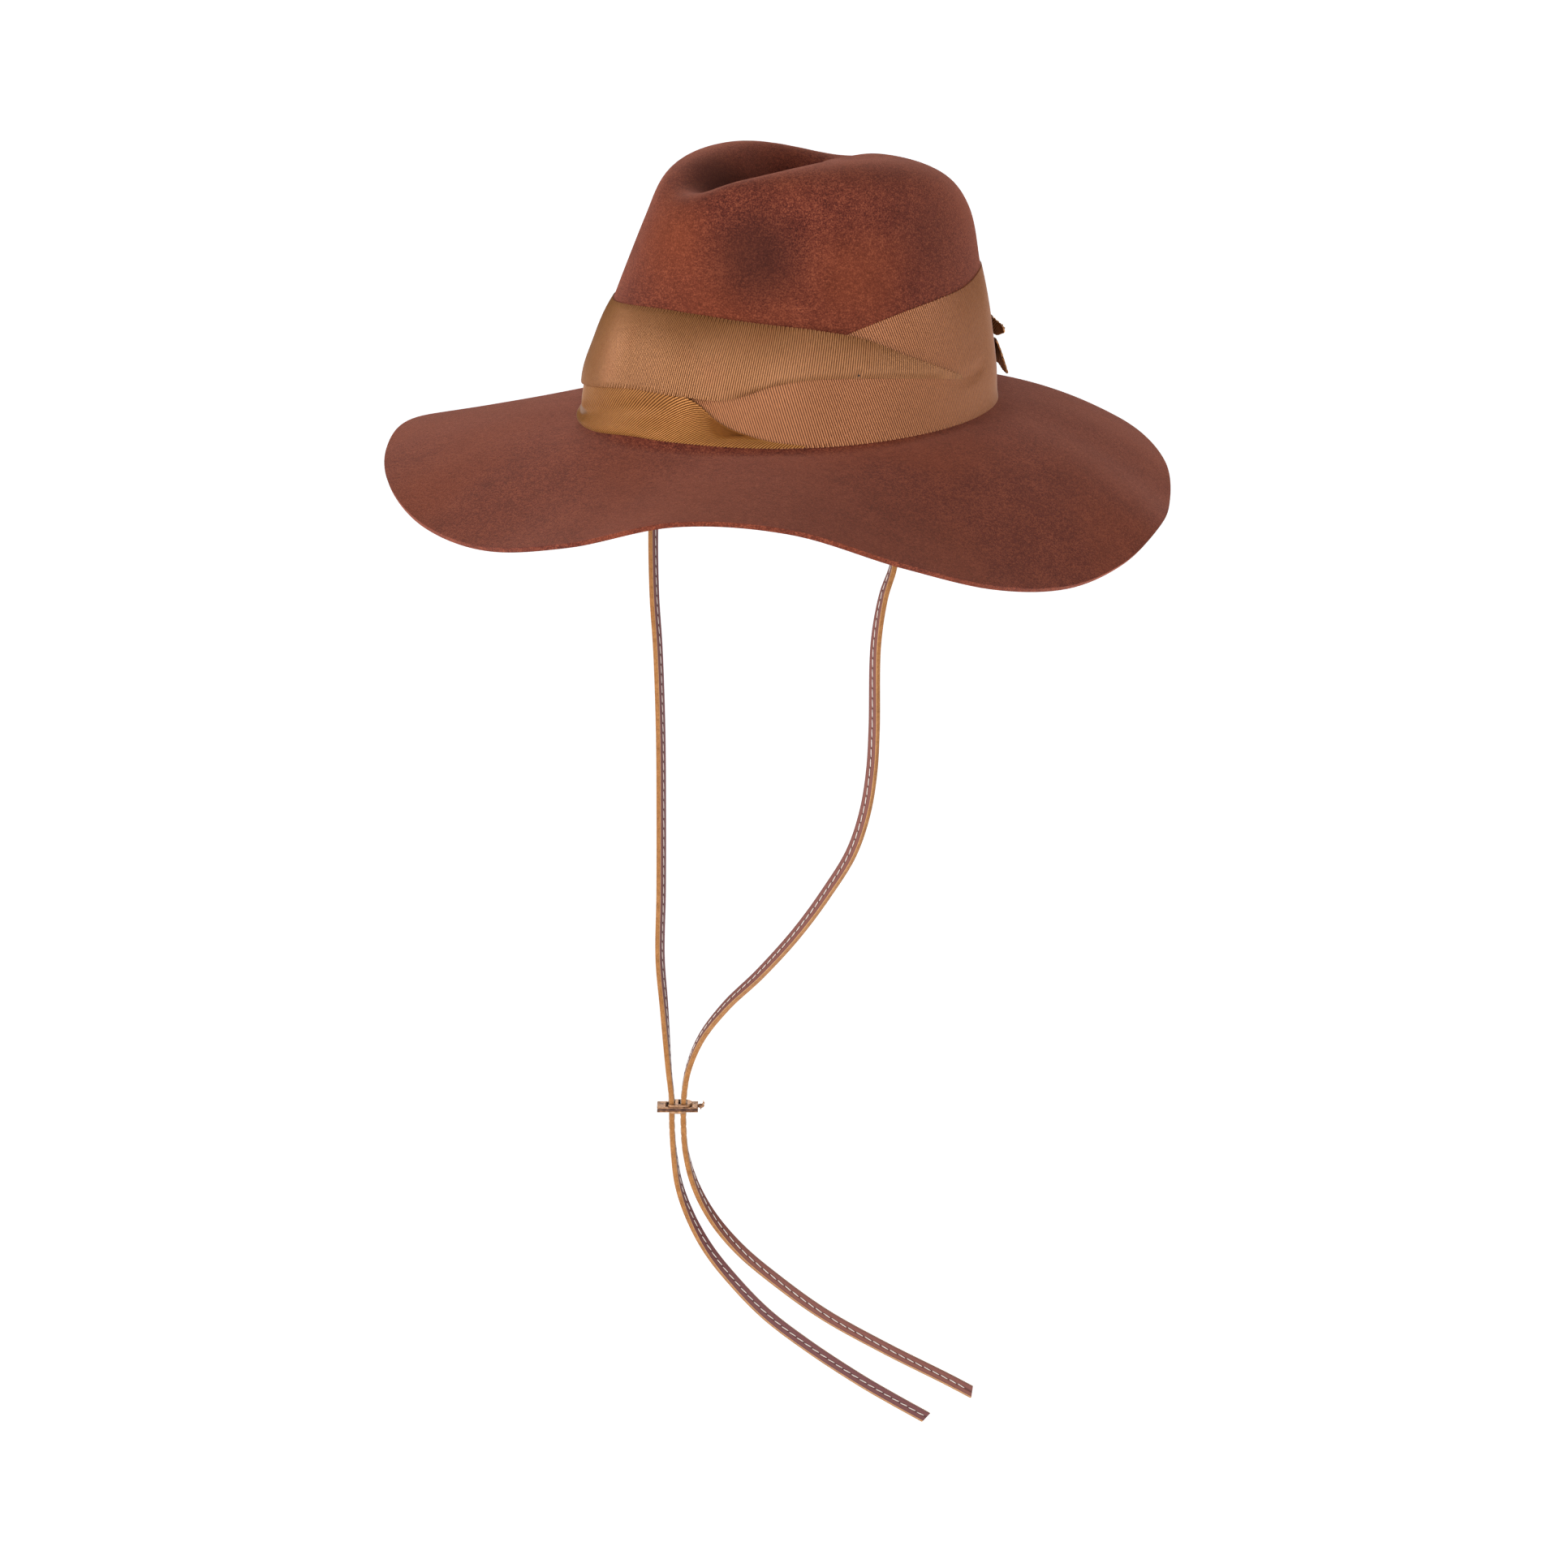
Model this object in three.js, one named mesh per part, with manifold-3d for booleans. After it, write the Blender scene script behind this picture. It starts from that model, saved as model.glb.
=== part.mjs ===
// Wide-brim felt hat with a folded ribbon band and a stitched leather chin strap.
// Millimetres, +Z up. The front of the hat looks along -Y and the wearer's left is +X.
// The origin is the centre of the head opening, where the crown meets the brim.
import * as THREE from 'three';
import { mergeVertices } from 'three/addons/utils/BufferGeometryUtils.js';
import Module from 'manifold-3d';

const wasm = await Module();
wasm.setup();

// Head size and felt
const HEAD = { halfWidth: 82, halfLength: 101.5 };
const FELT_WALL = 2.2;
const BREAK_RADIUS = 6;
const BRIM_SLANT = 94;

// Crown: how far the wall reaches from the centre at each level, before the shoulder rounds it in
const CROWN = { height: 139.8, centreShift: 10.9, heightPower: 0.665, shoulderPower: 0.59 };
const CROWN_WALL = [
  { level: 0, front: 101.5, back: 101.5, side: 82 },
  { level: 35, front: 94.5, back: 100.3, side: 77.6 },
  { level: 65, front: 85, back: 100, side: 73.4 },
  { level: 90, front: 83.2, back: 104, side: 67.3 },
  { level: 112, front: 82.1, back: 97.2, side: 63.9 },
  { level: 140, front: 77.8, back: 80.7, side: 43.6 },
];
const CROWN_TILT = { slope: -0.112, curve: 0.023 / 60 };
const CROWN_NARROWING = 0.117;
const CREASE_FRONT = { end: -79.1, fade: 4.1 };
const DISH = { depth: 26.1, width: 45.3, power: 3.92, backEnd: 89.7, backFade: 5.5 };
const GROOVE = {
  depth: 27.8, frontWidth: 19.4, backWidth: 11.8, power: 2.43, shift: 23.2, turnAt: 5.8, turnLength: 9.6,
  backEnd: 47.2, backFade: 8.7,
};
const SIDE_DENT = { depth: 4.3, level: 88, reach: 24, y: -42, length: 26 };
const FRONT_SWELL = { height: 4.8, x: 13.8, width: 14, y: -60, length: 16 };

// Brim: how far its edge hangs below the head opening, and how late the brim bends down
const BRIM = [
  { angle: 0, droop: 32.1, bend: 1.13, slant: 91.5 },
  { angle: 15, droop: 22.6, bend: 1.08, slant: 93.5 },
  { angle: 30, droop: 9.2, bend: 1, slant: 94 },
  { angle: 45, droop: 11.2, bend: 1, slant: 98.2 },
  { angle: 60, droop: 28.6, bend: 1.09, slant: 101 },
  { angle: 75, droop: 44.6, bend: 1.24, slant: 102.6 },
  { angle: 90, droop: 52.3, bend: 1.39, slant: 103.5 },
  { angle: 105, droop: 51, bend: 1.48, slant: 100.6 },
  { angle: 120, droop: 44.8, bend: 1.56, slant: 96.2 },
  { angle: 135, droop: 43.4, bend: 1.62, slant: 93.3 },
  { angle: 150, droop: 35.6, bend: 1.76, slant: 91.6 },
  { angle: 180, droop: 25.4, bend: 1.73, slant: 91.4 },
  { angle: 210, droop: 32.3, bend: 1.5, slant: 92.3 },
  { angle: 240, droop: 22.8, bend: 1.35, slant: 94 },
  { angle: 270, droop: 23.8, bend: 1.38, slant: 95.1 },
  { angle: 285, droop: 20.2, bend: 1.2, slant: 96.1 },
  { angle: 300, droop: 16.4, bend: 1.22, slant: 98.4 },
  { angle: 315, droop: 18.5, bend: 1.45, slant: 95 },
  { angle: 330, droop: 24.2, bend: 1.3, slant: 93.2 },
  { angle: 345, droop: 31.4, bend: 1.2, slant: 92 },
];

// Felt blank: how finely it is divided
const FELT_GRID = { around: 60, crown: 17, corner: 2, brim: 10 };

// Ribbon turns: heights of the two edges and how far each edge stands off the felt
const RIBBON_WALL = 1;
const RIBBON_UPPER = [
  { angle: -178, bottom: 12, top: 50, liftBottom: 2.2, liftTop: 0.6 },
  { angle: -100, bottom: 14, top: 52, liftBottom: 2.2, liftTop: 0.6 },
  { angle: -37, bottom: 16, top: 54, liftBottom: 2.2, liftTop: 0.6 },
  { angle: 0, bottom: 23.5, top: 58, liftBottom: 2.4, liftTop: 0.6 },
  { angle: 20, bottom: 23, top: 57.5, liftBottom: 3.9, liftTop: 0.6 },
  { angle: 33, bottom: 22.5, top: 55.5, liftBottom: 3.6, liftTop: 1 },
  { angle: 46, bottom: 28.4, top: 53, liftBottom: 3.3, liftTop: 1.7 },
  { angle: 57, bottom: 30.2, top: 50.5, liftBottom: 3.3, liftTop: 2.6 },
  { angle: 71, bottom: 29, top: 45.5, liftBottom: 3.5, liftTop: 2.6 },
  { angle: 85, bottom: 26.2, top: 35.5, liftBottom: 3.1, liftTop: 2.8 },
  { angle: 105, bottom: 20.6, top: 22.2, liftBottom: 2.9, liftTop: 2.9 },
];
const RIBBON_LOWER = [
  { angle: -178, bottom: 1.2, top: 20, liftBottom: 2.6, liftTop: 0.5 },
  { angle: -100, bottom: 1.2, top: 21, liftBottom: 2.6, liftTop: 0.5 },
  { angle: -37, bottom: 1.2, top: 23, liftBottom: 2.8, liftTop: 0.5 },
  { angle: -15, bottom: 1.2, top: 27, liftBottom: 3, liftTop: 0.5 },
  { angle: 3, bottom: 3.6, top: 27.5, liftBottom: 2.2, liftTop: 0.7 },
  { angle: 14, bottom: 3.5, top: 25.5, liftBottom: 2.7, liftTop: 1.6 },
  { angle: 24, bottom: 3.2, top: 21.6, liftBottom: 3, liftTop: 2.2 },
  { angle: 31, bottom: 2.8, top: 14.5, liftBottom: 3.1, liftTop: 2.5 },
  { angle: 37, bottom: 2.4, top: 9, liftBottom: 3.4, liftTop: 2.8 },
  { angle: 45, bottom: 2, top: 4.9, liftBottom: 3.5, liftTop: 3 },
  { angle: 54, bottom: 1.7, top: 2.4, liftBottom: 3.5, liftTop: 3.4 },
];
const RIBBON_WIDE = [
  { angle: 18, bottom: 14, top: 20, liftBottom: 0.5, liftTop: 0.5 },
  { angle: 24, bottom: 9, top: 26, liftBottom: 0.6, liftTop: 0.6 },
  { angle: 31, bottom: 5, top: 31, liftBottom: 0.8, liftTop: 1 },
  { angle: 37, bottom: 2.8, top: 34, liftBottom: 1.1, liftTop: 1.2 },
  { angle: 45, bottom: 1.8, top: 37, liftBottom: 1.6, liftTop: 1.4 },
  { angle: 57, bottom: 1.4, top: 41, liftBottom: 2.1, liftTop: 1.4 },
  { angle: 66, bottom: 1.2, top: 47.7, liftBottom: 2.4, liftTop: 0.7 },
  { angle: 76, bottom: 1.2, top: 51.9, liftBottom: 2.8, liftTop: 0.6 },
  { angle: 87, bottom: 1.2, top: 55.1, liftBottom: 2.8, liftTop: 0.6 },
  { angle: 100, bottom: 1.2, top: 57.1, liftBottom: 2.8, liftTop: 0.6 },
  { angle: 113, bottom: 1.2, top: 58.3, liftBottom: 2.8, liftTop: 0.6 },
  { angle: 134, bottom: 1.2, top: 61.3, liftBottom: 2.8, liftTop: 0.6 },
  { angle: 181, bottom: 1.2, top: 59, liftBottom: 2.8, liftTop: 0.6 },
];

// Bow at the back: a wrapped knot and two cut ends that stand off towards the wearer's left
const KNOT = { angle: 181, halfTurn: 10, bottom: 5, top: 50, liftBottom: 4.1, liftTop: 2.6 };
const TAIL_UPPER = [
  { angle: 146, bottom: 25.5, top: 30.5, liftBottom: 7, liftTop: 6.5 },
  { angle: 154, bottom: 24, top: 34.5, liftBottom: 6, liftTop: 5 },
  { angle: 162, bottom: 25.5, top: 37.5, liftBottom: 4.5, liftTop: 4 },
  { angle: 170.7, bottom: 26.5, top: 36, liftBottom: 3.2, liftTop: 2.8 },
];
const TAIL_LOWER = [
  { angle: 146, bottom: 9, top: 24, liftBottom: 7, liftTop: 6 },
  { angle: 154, bottom: 8, top: 23, liftBottom: 6, liftTop: 5 },
  { angle: 162, bottom: 9, top: 23.5, liftBottom: 4.8, liftTop: 4 },
  { angle: 170.7, bottom: 12, top: 24.5, liftBottom: 3.6, liftTop: 3.2 },
];

// Chin strap: doubled leather, sewn inside at the ears
const STRAP = { width: 5.5, thickness: 2.5, corner: 0.5, gap: 0.4, joint: 0.3 };
const EAR_ANGLE = 85.5;
const EAR_HEIGHT = 4;
const BACK_RUN = { height: 24, turn: 11.4 };
const STRAND_LEFT = [
  [77.2, -8, -20], [75.8, -8, -42], [72.9, -8, -59.5], [66.6, -7.8, -75], [61.9, -7.7, -98],
  [60.9, -7.5, -138], [59.4, -7.4, -158], [55.2, -7.2, -178], [46.7, -7.1, -199],
  [30.7, -6.9, -222], [10.9, -6.8, -246.5], [-13.4, -6.6, -272], [-36.8, -6.4, -294],
  [-53.9, -6.3, -314.5], [-63.1, -6.1, -333], [-65.9, -6, -346], [-66.3, -6, -352],
  [-66.4, -6, -361], [-65.7, -5.3, -375], [-62.5, -2.2, -392], [-56.4, 3.8, -409],
  [-47.2, 13.1, -425.5], [-34.2, 26.1, -442], [-18.4, 41.8, -459], [1.7, 62, -476],
  [24.1, 84.4, -493], [32.4, 92.7, -499.6],
];
const STRAND_RIGHT = [
  [-78.2, -8, -20], [-81, -8, -48], [-82.4, -8, -72], [-81.9, -8, -102], [-79.4, -8.4, -127],
  [-77.6, -8.7, -166], [-77.2, -9, -206], [-77.6, -9.1, -246], [-78.4, -9.3, -279],
  [-75.6, -9.6, -303], [-72.4, -9.8, -334], [-70.5, -10, -346], [-70.3, -10, -352],
  [-70.3, -10, -361], [-69.7, -9.4, -375], [-68, -7.7, -392], [-63.9, -3.7, -409],
  [-57.9, 2.4, -425.5], [-49.2, 11.1, -442], [-38, 22, -459], [-23.4, 36.8, -476],
  [-6.4, 53.9, -493], [3.6, 64, -502], [16.8, 77, -513],
];
// How far the strap face is turned about its own length, in degrees, by the share of its run
const TWIST_LEFT = [
  { run: 0, turn: -135 }, { run: 0.17, turn: -54 }, { run: 0.45, turn: -56 },
  { run: 0.64, turn: -90 }, { run: 0.68, turn: -90 }, { run: 0.8, turn: -145 }, { run: 1, turn: -150 },
];
const TWIST_RIGHT = [
  { run: 0, turn: 45 }, { run: 0.17, turn: 60 }, { run: 0.5, turn: 62 },
  { run: 0.61, turn: 90 }, { run: 0.65, turn: 90 }, { run: 0.8, turn: 35 }, { run: 1, turn: 30 },
];
const STRAND_STEPS = 56;

// Slide: a brass bar with two slots, a collar above, a lip below and a small cast claw
const SLIDE = { x: -68.3, y: -8, z: -352, turn: 45, length: 19.6, depth: 9.4, thickness: 2.4 };
const SLIDE_COLLAR = { length: 13.2, depth: 8.8, height: 1.2 };
const SLIDE_LIP = { length: 10.6, depth: 8.4, height: 1 };
const SLIDE_SLOT = { length: 4.2, depth: 6.6, spacing: 5.7, shift: -0.4 };
const SLIDE_CLAW = { length: 3.4, depth: 2.6, height: 3.6, tip: 0.35 };

const COLOURS = {
  felt: { color: 0x7a4335, roughness: 0.95, metalness: 0 },
  ribbon: { color: 0xb47c50, roughness: 0.7, metalness: 0 },
  leather: { color: 0x764842, roughness: 0.6, metalness: 0 },
  brass: { color: 0x9a7350, roughness: 0.4, metalness: 1 },
};

const radians = (degrees) => (degrees * Math.PI) / 180;
const clamp = (value, low, high) => Math.min(high, Math.max(low, value));
const bell = (distance, width) => Math.exp(-((distance / width) ** 2));
const fade = (at, middle, length) => 1 / (1 + Math.exp((at - middle) / length));

// Smooth curve through one column of a table whose rows are sorted by another column
function column(rows, along, name, at) {
  let i = 0;
  while (i < rows.length - 2 && at > rows[i + 1][along]) i += 1;
  const [a, b] = [rows[i], rows[i + 1]];
  const span = b[along] - a[along];
  const before = rows[i - 1] ?? { [along]: 2 * a[along] - b[along], [name]: 2 * a[name] - b[name] };
  const after = rows[i + 2] ?? { [along]: 2 * b[along] - a[along], [name]: 2 * b[name] - a[name] };
  const t = clamp((at - a[along]) / span, 0, 1);
  const slopeA = ((b[name] - before[name]) / (b[along] - before[along])) * span;
  const slopeB = ((after[name] - a[name]) / (after[along] - a[along])) * span;
  const [t2, t3] = [t * t, t * t * t];
  return (2 * t3 - 3 * t2 + 1) * a[name] + (t3 - 2 * t2 + t) * slopeA
    + (3 * t2 - 2 * t3) * b[name] + (t3 - t2) * slopeB;
}

// The brim table with its first and last rows repeated, so that it closes on itself
const BRIM_RING = [
  ...BRIM.slice(-2).map((row) => ({ ...row, angle: row.angle - 360 })),
  ...BRIM,
  ...BRIM.slice(0, 3).map((row) => ({ ...row, angle: row.angle + 360 })),
];

// Outer face of the crown: rise is 0 at the head opening and 1 at the middle of the top
function crownPoint(angle, rise) {
  const share = Math.atan(Math.tan((Math.PI / 2) * clamp(rise, 0, 0.99999)) ** 1.62);
  const up = Math.sin(share) ** CROWN.heightPower;
  const out = Math.cos(share) ** CROWN.shoulderPower;
  const level = CROWN.height * up;
  const [cos, sin] = [Math.cos(radians(angle)), Math.sin(radians(angle))];
  const centre = CROWN.centreShift * up;
  const front = column(CROWN_WALL, 'level', 'front', level) + centre;
  const back = column(CROWN_WALL, 'level', 'back', level) - centre;
  const side = column(CROWN_WALL, 'level', 'side', level);
  const y = centre - (cos > 0 ? front : back) * out * cos;
  const narrowing = 1 - CROWN_NARROWING * up * clamp(cos, 0, 1) ** 1.5;
  const x = side * out * sin * narrowing;
  return dentCrown(x, y, level, up);
}

// The blocked shape: a tilted and dished top, a groove that turns towards the wearer's right at the back,
// and the pinch at each side of the front
function dentCrown(x, y, level, up) {
  const tilt = CROWN_TILT.slope * y + CROWN_TILT.curve * y * y;
  const front = fade(y, CREASE_FRONT.end, -CREASE_FRONT.fade);
  const dish = DISH.depth * fade(y, DISH.backEnd, DISH.backFade)
    * Math.exp(-((Math.abs(x) / DISH.width) ** DISH.power));
  const turned = fade(y, GROOVE.turnAt, -GROOVE.turnLength);
  const width = GROOVE.frontWidth + (GROOVE.backWidth - GROOVE.frontWidth) * turned;
  const groove = GROOVE.depth * fade(y, GROOVE.backEnd, GROOVE.backFade)
    * Math.exp(-((Math.abs(x + GROOVE.shift * turned) / width) ** GROOVE.power));
  const crease = (dish + groove) * front * up ** 6;
  const dent = SIDE_DENT.depth * bell(level - SIDE_DENT.level, SIDE_DENT.reach)
    * bell(y - SIDE_DENT.y, SIDE_DENT.length);
  const dentedX = x - Math.sign(x) * dent * clamp(Math.abs(x) / 25, 0, 1);
  const swell = FRONT_SWELL.height * bell(dentedX - FRONT_SWELL.x, FRONT_SWELL.width)
    * bell(y - FRONT_SWELL.y, FRONT_SWELL.length) * up ** 4;
  return new THREE.Vector3(dentedX, y, level + tilt * up * up - crease + swell);
}

// Outer face of the brim: out is 0 at the head opening and 1 at the cut edge
function brimPoint(angle, out) {
  const [cos, sin] = [Math.cos(radians(angle)), Math.sin(radians(angle))];
  const start = new THREE.Vector3(HEAD.halfWidth * sin, -HEAD.halfLength * cos, 0);
  const bearing = Math.atan2(start.x, -start.y);
  const turn = (THREE.MathUtils.radToDeg(bearing) + 360) % 360;
  const droop = column(BRIM_RING, 'angle', 'droop', turn);
  const bend = column(BRIM_RING, 'angle', 'bend', turn);
  const slant = column(BRIM_RING, 'angle', 'slant', turn);
  const reach = Math.sqrt(slant * slant - droop * droop) * out;
  const drop = -droop * out ** bend;
  return start.add(new THREE.Vector3(Math.sin(bearing) * reach, -Math.cos(bearing) * reach, drop));
}

// One point of the whole outer face, from the middle of the top to the edge of the brim
const BREAK_RISE = 0.0322;
const BREAK_OUT = BREAK_RADIUS / BRIM_SLANT;
function feltPoint(angle, row) {
  const { crown, corner, brim } = FELT_GRID;
  if (row <= crown) return crownPoint(angle, 1 - (1 - BREAK_RISE) * (row / crown));
  if (row >= crown + corner) {
    return brimPoint(angle, BREAK_OUT + (1 - BREAK_OUT) * ((row - crown - corner) / brim));
  }
  const t = (row - crown) / corner;
  const wall = crownPoint(angle, BREAK_RISE);
  const bend = brimPoint(angle, 0);
  const flat = brimPoint(angle, BREAK_OUT);
  return wall.multiplyScalar((1 - t) ** 2).addScaledVector(bend, 2 * t * (1 - t)).addScaledVector(flat, t * t);
}

function surfaceNormal(point, u, v, du, dv) {
  const alongU = point(u + du, v).sub(point(u - du, v));
  const alongV = point(u, v + dv).sub(point(u, v - dv));
  return alongV.cross(alongU).normalize();
}

// Height of the crown wall turned into its rise, by halving
function riseAt(angle, height) {
  let [low, high] = [0, 0.62];
  for (let i = 0; i < 24; i += 1) {
    const middle = (low + high) / 2;
    if (crownPoint(angle, middle).z < height) low = middle;
    else high = middle;
  }
  return (low + high) / 2;
}

// A point that stands off the crown wall at a height; negative distances are inside the hat
function wallPoint(angle, height, distance) {
  const rise = riseAt(angle, Math.max(height, 0.5));
  const point = crownPoint(angle, rise);
  const normal = surfaceNormal(crownPoint, angle, Math.max(rise, 0.01), 0.5, 0.004).negate();
  point.z = height;
  return point.addScaledVector(normal, distance);
}

// A closed solid made by moving the vertices of a divided box: u and v run 0 to 1, w is 0 or 1
function shapedBox(stepsU, stepsV, place) {
  const geometry = new THREE.BoxGeometry(1, 1, 1, stepsU, stepsV, 1);
  geometry.deleteAttribute('normal');
  geometry.deleteAttribute('uv');
  const merged = mergeVertices(geometry, 1e-4);
  const positions = merged.attributes.position;
  for (let i = 0; i < positions.count; i += 1) {
    const moved = place(positions.getX(i) + 0.5, positions.getY(i) + 0.5, positions.getZ(i) + 0.5);
    positions.setXYZ(i, moved.x, moved.y, moved.z);
  }
  return merged;
}

function named(name, geometry, look) {
  const mesh = new THREE.Mesh(geometry, new THREE.MeshStandardMaterial(look));
  mesh.name = name;
  return mesh;
}

// Felt: two sheets one wall apart, joined at the cut edge of the brim
function feltBody() {
  const { around, crown, corner, brim } = FELT_GRID;
  const rows = crown + corner + brim;
  const blank = new THREE.LatheGeometry(feltProfile(rows), around);
  blank.deleteAttribute('normal');
  blank.deleteAttribute('uv');
  const merged = mergeVertices(blank, 1e-4);
  const positions = merged.attributes.position;
  for (let i = 0; i < positions.count; i += 1) {
    const [x, side, z] = [positions.getX(i), positions.getY(i), positions.getZ(i)];
    const row = Math.round(Math.hypot(x, z));
    const angle = THREE.MathUtils.radToDeg(Math.atan2(x, z));
    const moved = row === 0 ? topMiddle() : feltPoint(angle, row);
    if (side < 0.5) moved.addScaledVector(feltNormal(angle, row), -FELT_WALL);
    positions.setXYZ(i, moved.x, moved.y, moved.z);
  }
  return named('felt_body', merged, COLOURS.felt);
}

// The blank's profile: out along the lower sheet, up the edge and back along the upper sheet
function feltProfile(rows) {
  const profile = [];
  for (let row = 0; row <= rows; row += 1) profile.push(new THREE.Vector2(row, 0));
  for (let row = rows; row >= 0; row -= 1) profile.push(new THREE.Vector2(row, 1));
  return profile;
}

const topMiddle = () => crownPoint(0, 1);

function feltNormal(angle, row) {
  if (row === 0) return new THREE.Vector3(0, 0, 1);
  const last = FELT_GRID.crown + FELT_GRID.corner + FELT_GRID.brim;
  const near = clamp(row, 0.2, last - 0.1);
  return surfaceNormal(feltPoint, angle, near, 0.5, 0.1);
}

// How the stand-off falls from the lower edge to the upper one: late over another turn, or early
const lateFall = (v) => 1 - v ** 3;
const earlyFall = (v) => (1 - v) ** 2;

// Ribbon turn: a strip with its edges at the heights and lifts that the table gives
function ribbon(name, rows, stepsU, stepsV, fall) {
  const [first, last] = [rows[0].angle, rows[rows.length - 1].angle];
  const geometry = shapedBox(stepsU, stepsV, (u, v, w) => {
    const angle = first + (last - first) * u;
    const at = (key) => column(rows, 'angle', key, angle);
    const height = at('bottom') + (at('top') - at('bottom')) * v;
    const lift = at('liftTop') + (at('liftBottom') - at('liftTop')) * fall(v);
    return wallPoint(angle, height, lift + RIBBON_WALL * w);
  });
  return named(name, geometry, COLOURS.ribbon);
}

// Knot: a short upright wrap with rounded sides over the meeting ends of the ribbon
function bowKnot() {
  const geometry = shapedBox(8, 6, (u, v, w) => {
    const across = 2 * u - 1;
    const angle = KNOT.angle + KNOT.halfTurn * across;
    const height = KNOT.bottom + (KNOT.top - KNOT.bottom) * v;
    const crownOver = 2.2 * Math.sqrt(1 - across * across * 0.9) * Math.sin(Math.PI * (0.12 + 0.76 * v));
    const lift = KNOT.liftBottom + (KNOT.liftTop - KNOT.liftBottom) * v;
    return wallPoint(angle, height, lift + (RIBBON_WALL + crownOver) * w);
  });
  return named('bow_knot', geometry, COLOURS.ribbon);
}

// Flat strap section with its corners cut, in the strap's own width and thickness
function strapSection() {
  const [w, t, c] = [STRAP.width / 2, STRAP.thickness / 2, STRAP.corner];
  return [
    [w - c, -t], [w, -t + c], [w, t - c], [w - c, t], [-w + c, t], [-w, t - c], [-w, -t + c], [-w + c, -t],
  ];
}

// A tube of the strap's section through rings that each have a centre and two directions
function strapSolid(name, rings) {
  const section = strapSection();
  const points = [];
  const faces = [];
  for (const ring of rings) {
    for (const [across, thick] of section) {
      const p = ring.centre.clone().addScaledVector(ring.across, across).addScaledVector(ring.face, thick);
      points.push(p.x, p.y, p.z);
    }
  }
  const count = section.length;
  for (let i = 0; i < rings.length - 1; i += 1) {
    for (let j = 0; j < count; j += 1) {
      const [a, b] = [i * count + j, i * count + ((j + 1) % count)];
      faces.push(a, b, b + count, a, b + count, a + count);
    }
  }
  const end = (rings.length - 1) * count;
  for (let j = 1; j < count - 1; j += 1) {
    faces.push(0, j + 1, j);
    faces.push(end, end + j, end + j + 1);
  }
  const geometry = new THREE.BufferGeometry();
  geometry.setAttribute('position', new THREE.Float32BufferAttribute(points, 3));
  geometry.setIndex(faces);
  return named(name, geometry, COLOURS.leather);
}

const strapDepth = -(FELT_WALL + STRAP.gap + STRAP.thickness / 2);
const VIEWED_FROM = new THREE.Vector3(Math.SQRT1_2, -Math.SQRT1_2, 0);

// Free half of the strap: from the ear down through the slide to its cut end
function strand(name, side, points, twist) {
  const ear = wallPoint(side * EAR_ANGLE, EAR_HEIGHT - STRAP.joint, strapDepth);
  const curve = new THREE.CatmullRomCurve3(
    [ear, ...points.map((p) => new THREE.Vector3(...p))], false, 'centripetal');
  curve.arcLengthDivisions = 600;
  const rings = [];
  for (let i = 0; i <= STRAND_STEPS; i += 1) {
    const run = i / STRAND_STEPS;
    const tangent = curve.getTangentAt(run);
    const front = VIEWED_FROM.clone().addScaledVector(tangent, -VIEWED_FROM.dot(tangent)).normalize();
    const side = tangent.clone().cross(front).negate();
    const turn = radians(column(twist, 'run', 'turn', run));
    const face = front.multiplyScalar(Math.cos(turn)).addScaledVector(side, Math.sin(turn));
    rings.push({ centre: curve.getPointAt(run), face, across: face.clone().cross(tangent) });
  }
  return strapSolid(name, rings);
}

// Hidden run of the strap: up the inner wall behind each ear and round the back of the crown
function strapBack() {
  const stations = [];
  const climb = BACK_RUN.height - EAR_HEIGHT;
  const [turnSteps, backSteps] = [5, 20];
  for (let i = 0; i < turnSteps; i += 1) {
    const t = (Math.PI / 2) * (i / turnSteps);
    stations.push([EAR_ANGLE + BACK_RUN.turn * (1 - Math.cos(t)), EAR_HEIGHT + climb * Math.sin(t)]);
  }
  const [from, to] = [EAR_ANGLE + BACK_RUN.turn, 360 - EAR_ANGLE - BACK_RUN.turn];
  for (let i = 0; i <= backSteps; i += 1) {
    stations.push([from + (to - from) * (i / backSteps), BACK_RUN.height]);
  }
  for (let i = turnSteps - 1; i >= 0; i -= 1) {
    stations.push([360 - stations[i][0], stations[i][1]]);
  }
  const centres = stations.map(([angle, height]) => wallPoint(angle, height, strapDepth));
  const rings = centres.map((centre, i) => {
    const next = centres[Math.min(i + 1, centres.length - 1)];
    const tangent = next.clone().sub(centres[Math.max(i - 1, 0)]).normalize();
    if (i === 0 || i === centres.length - 1) tangent.set(0, 0, i === 0 ? 1 : -1);
    const [angle, height] = stations[i];
    const outward = wallPoint(angle, height, 0).sub(centre);
    const face = outward.addScaledVector(tangent, -outward.dot(tangent)).normalize();
    return { centre, face, across: face.clone().cross(tangent) };
  });
  return strapSolid('strap_back', rings);
}

function toManifold(geometry) {
  geometry.deleteAttribute('normal');
  geometry.deleteAttribute('uv');
  const merged = mergeVertices(geometry, 1e-4);
  const vertProperties = new Float32Array(merged.attributes.position.array);
  const triVerts = new Uint32Array(merged.index.array);
  return new wasm.Manifold(new wasm.Mesh({ numProp: 3, vertProperties, triVerts }));
}

function fromManifold(solid) {
  const mesh = solid.getMesh();
  const geometry = new THREE.BufferGeometry();
  geometry.setAttribute('position', new THREE.Float32BufferAttribute(mesh.vertProperties, 3));
  geometry.setIndex(new THREE.Uint32BufferAttribute(mesh.triVerts, 1));
  return geometry;
}

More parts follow.
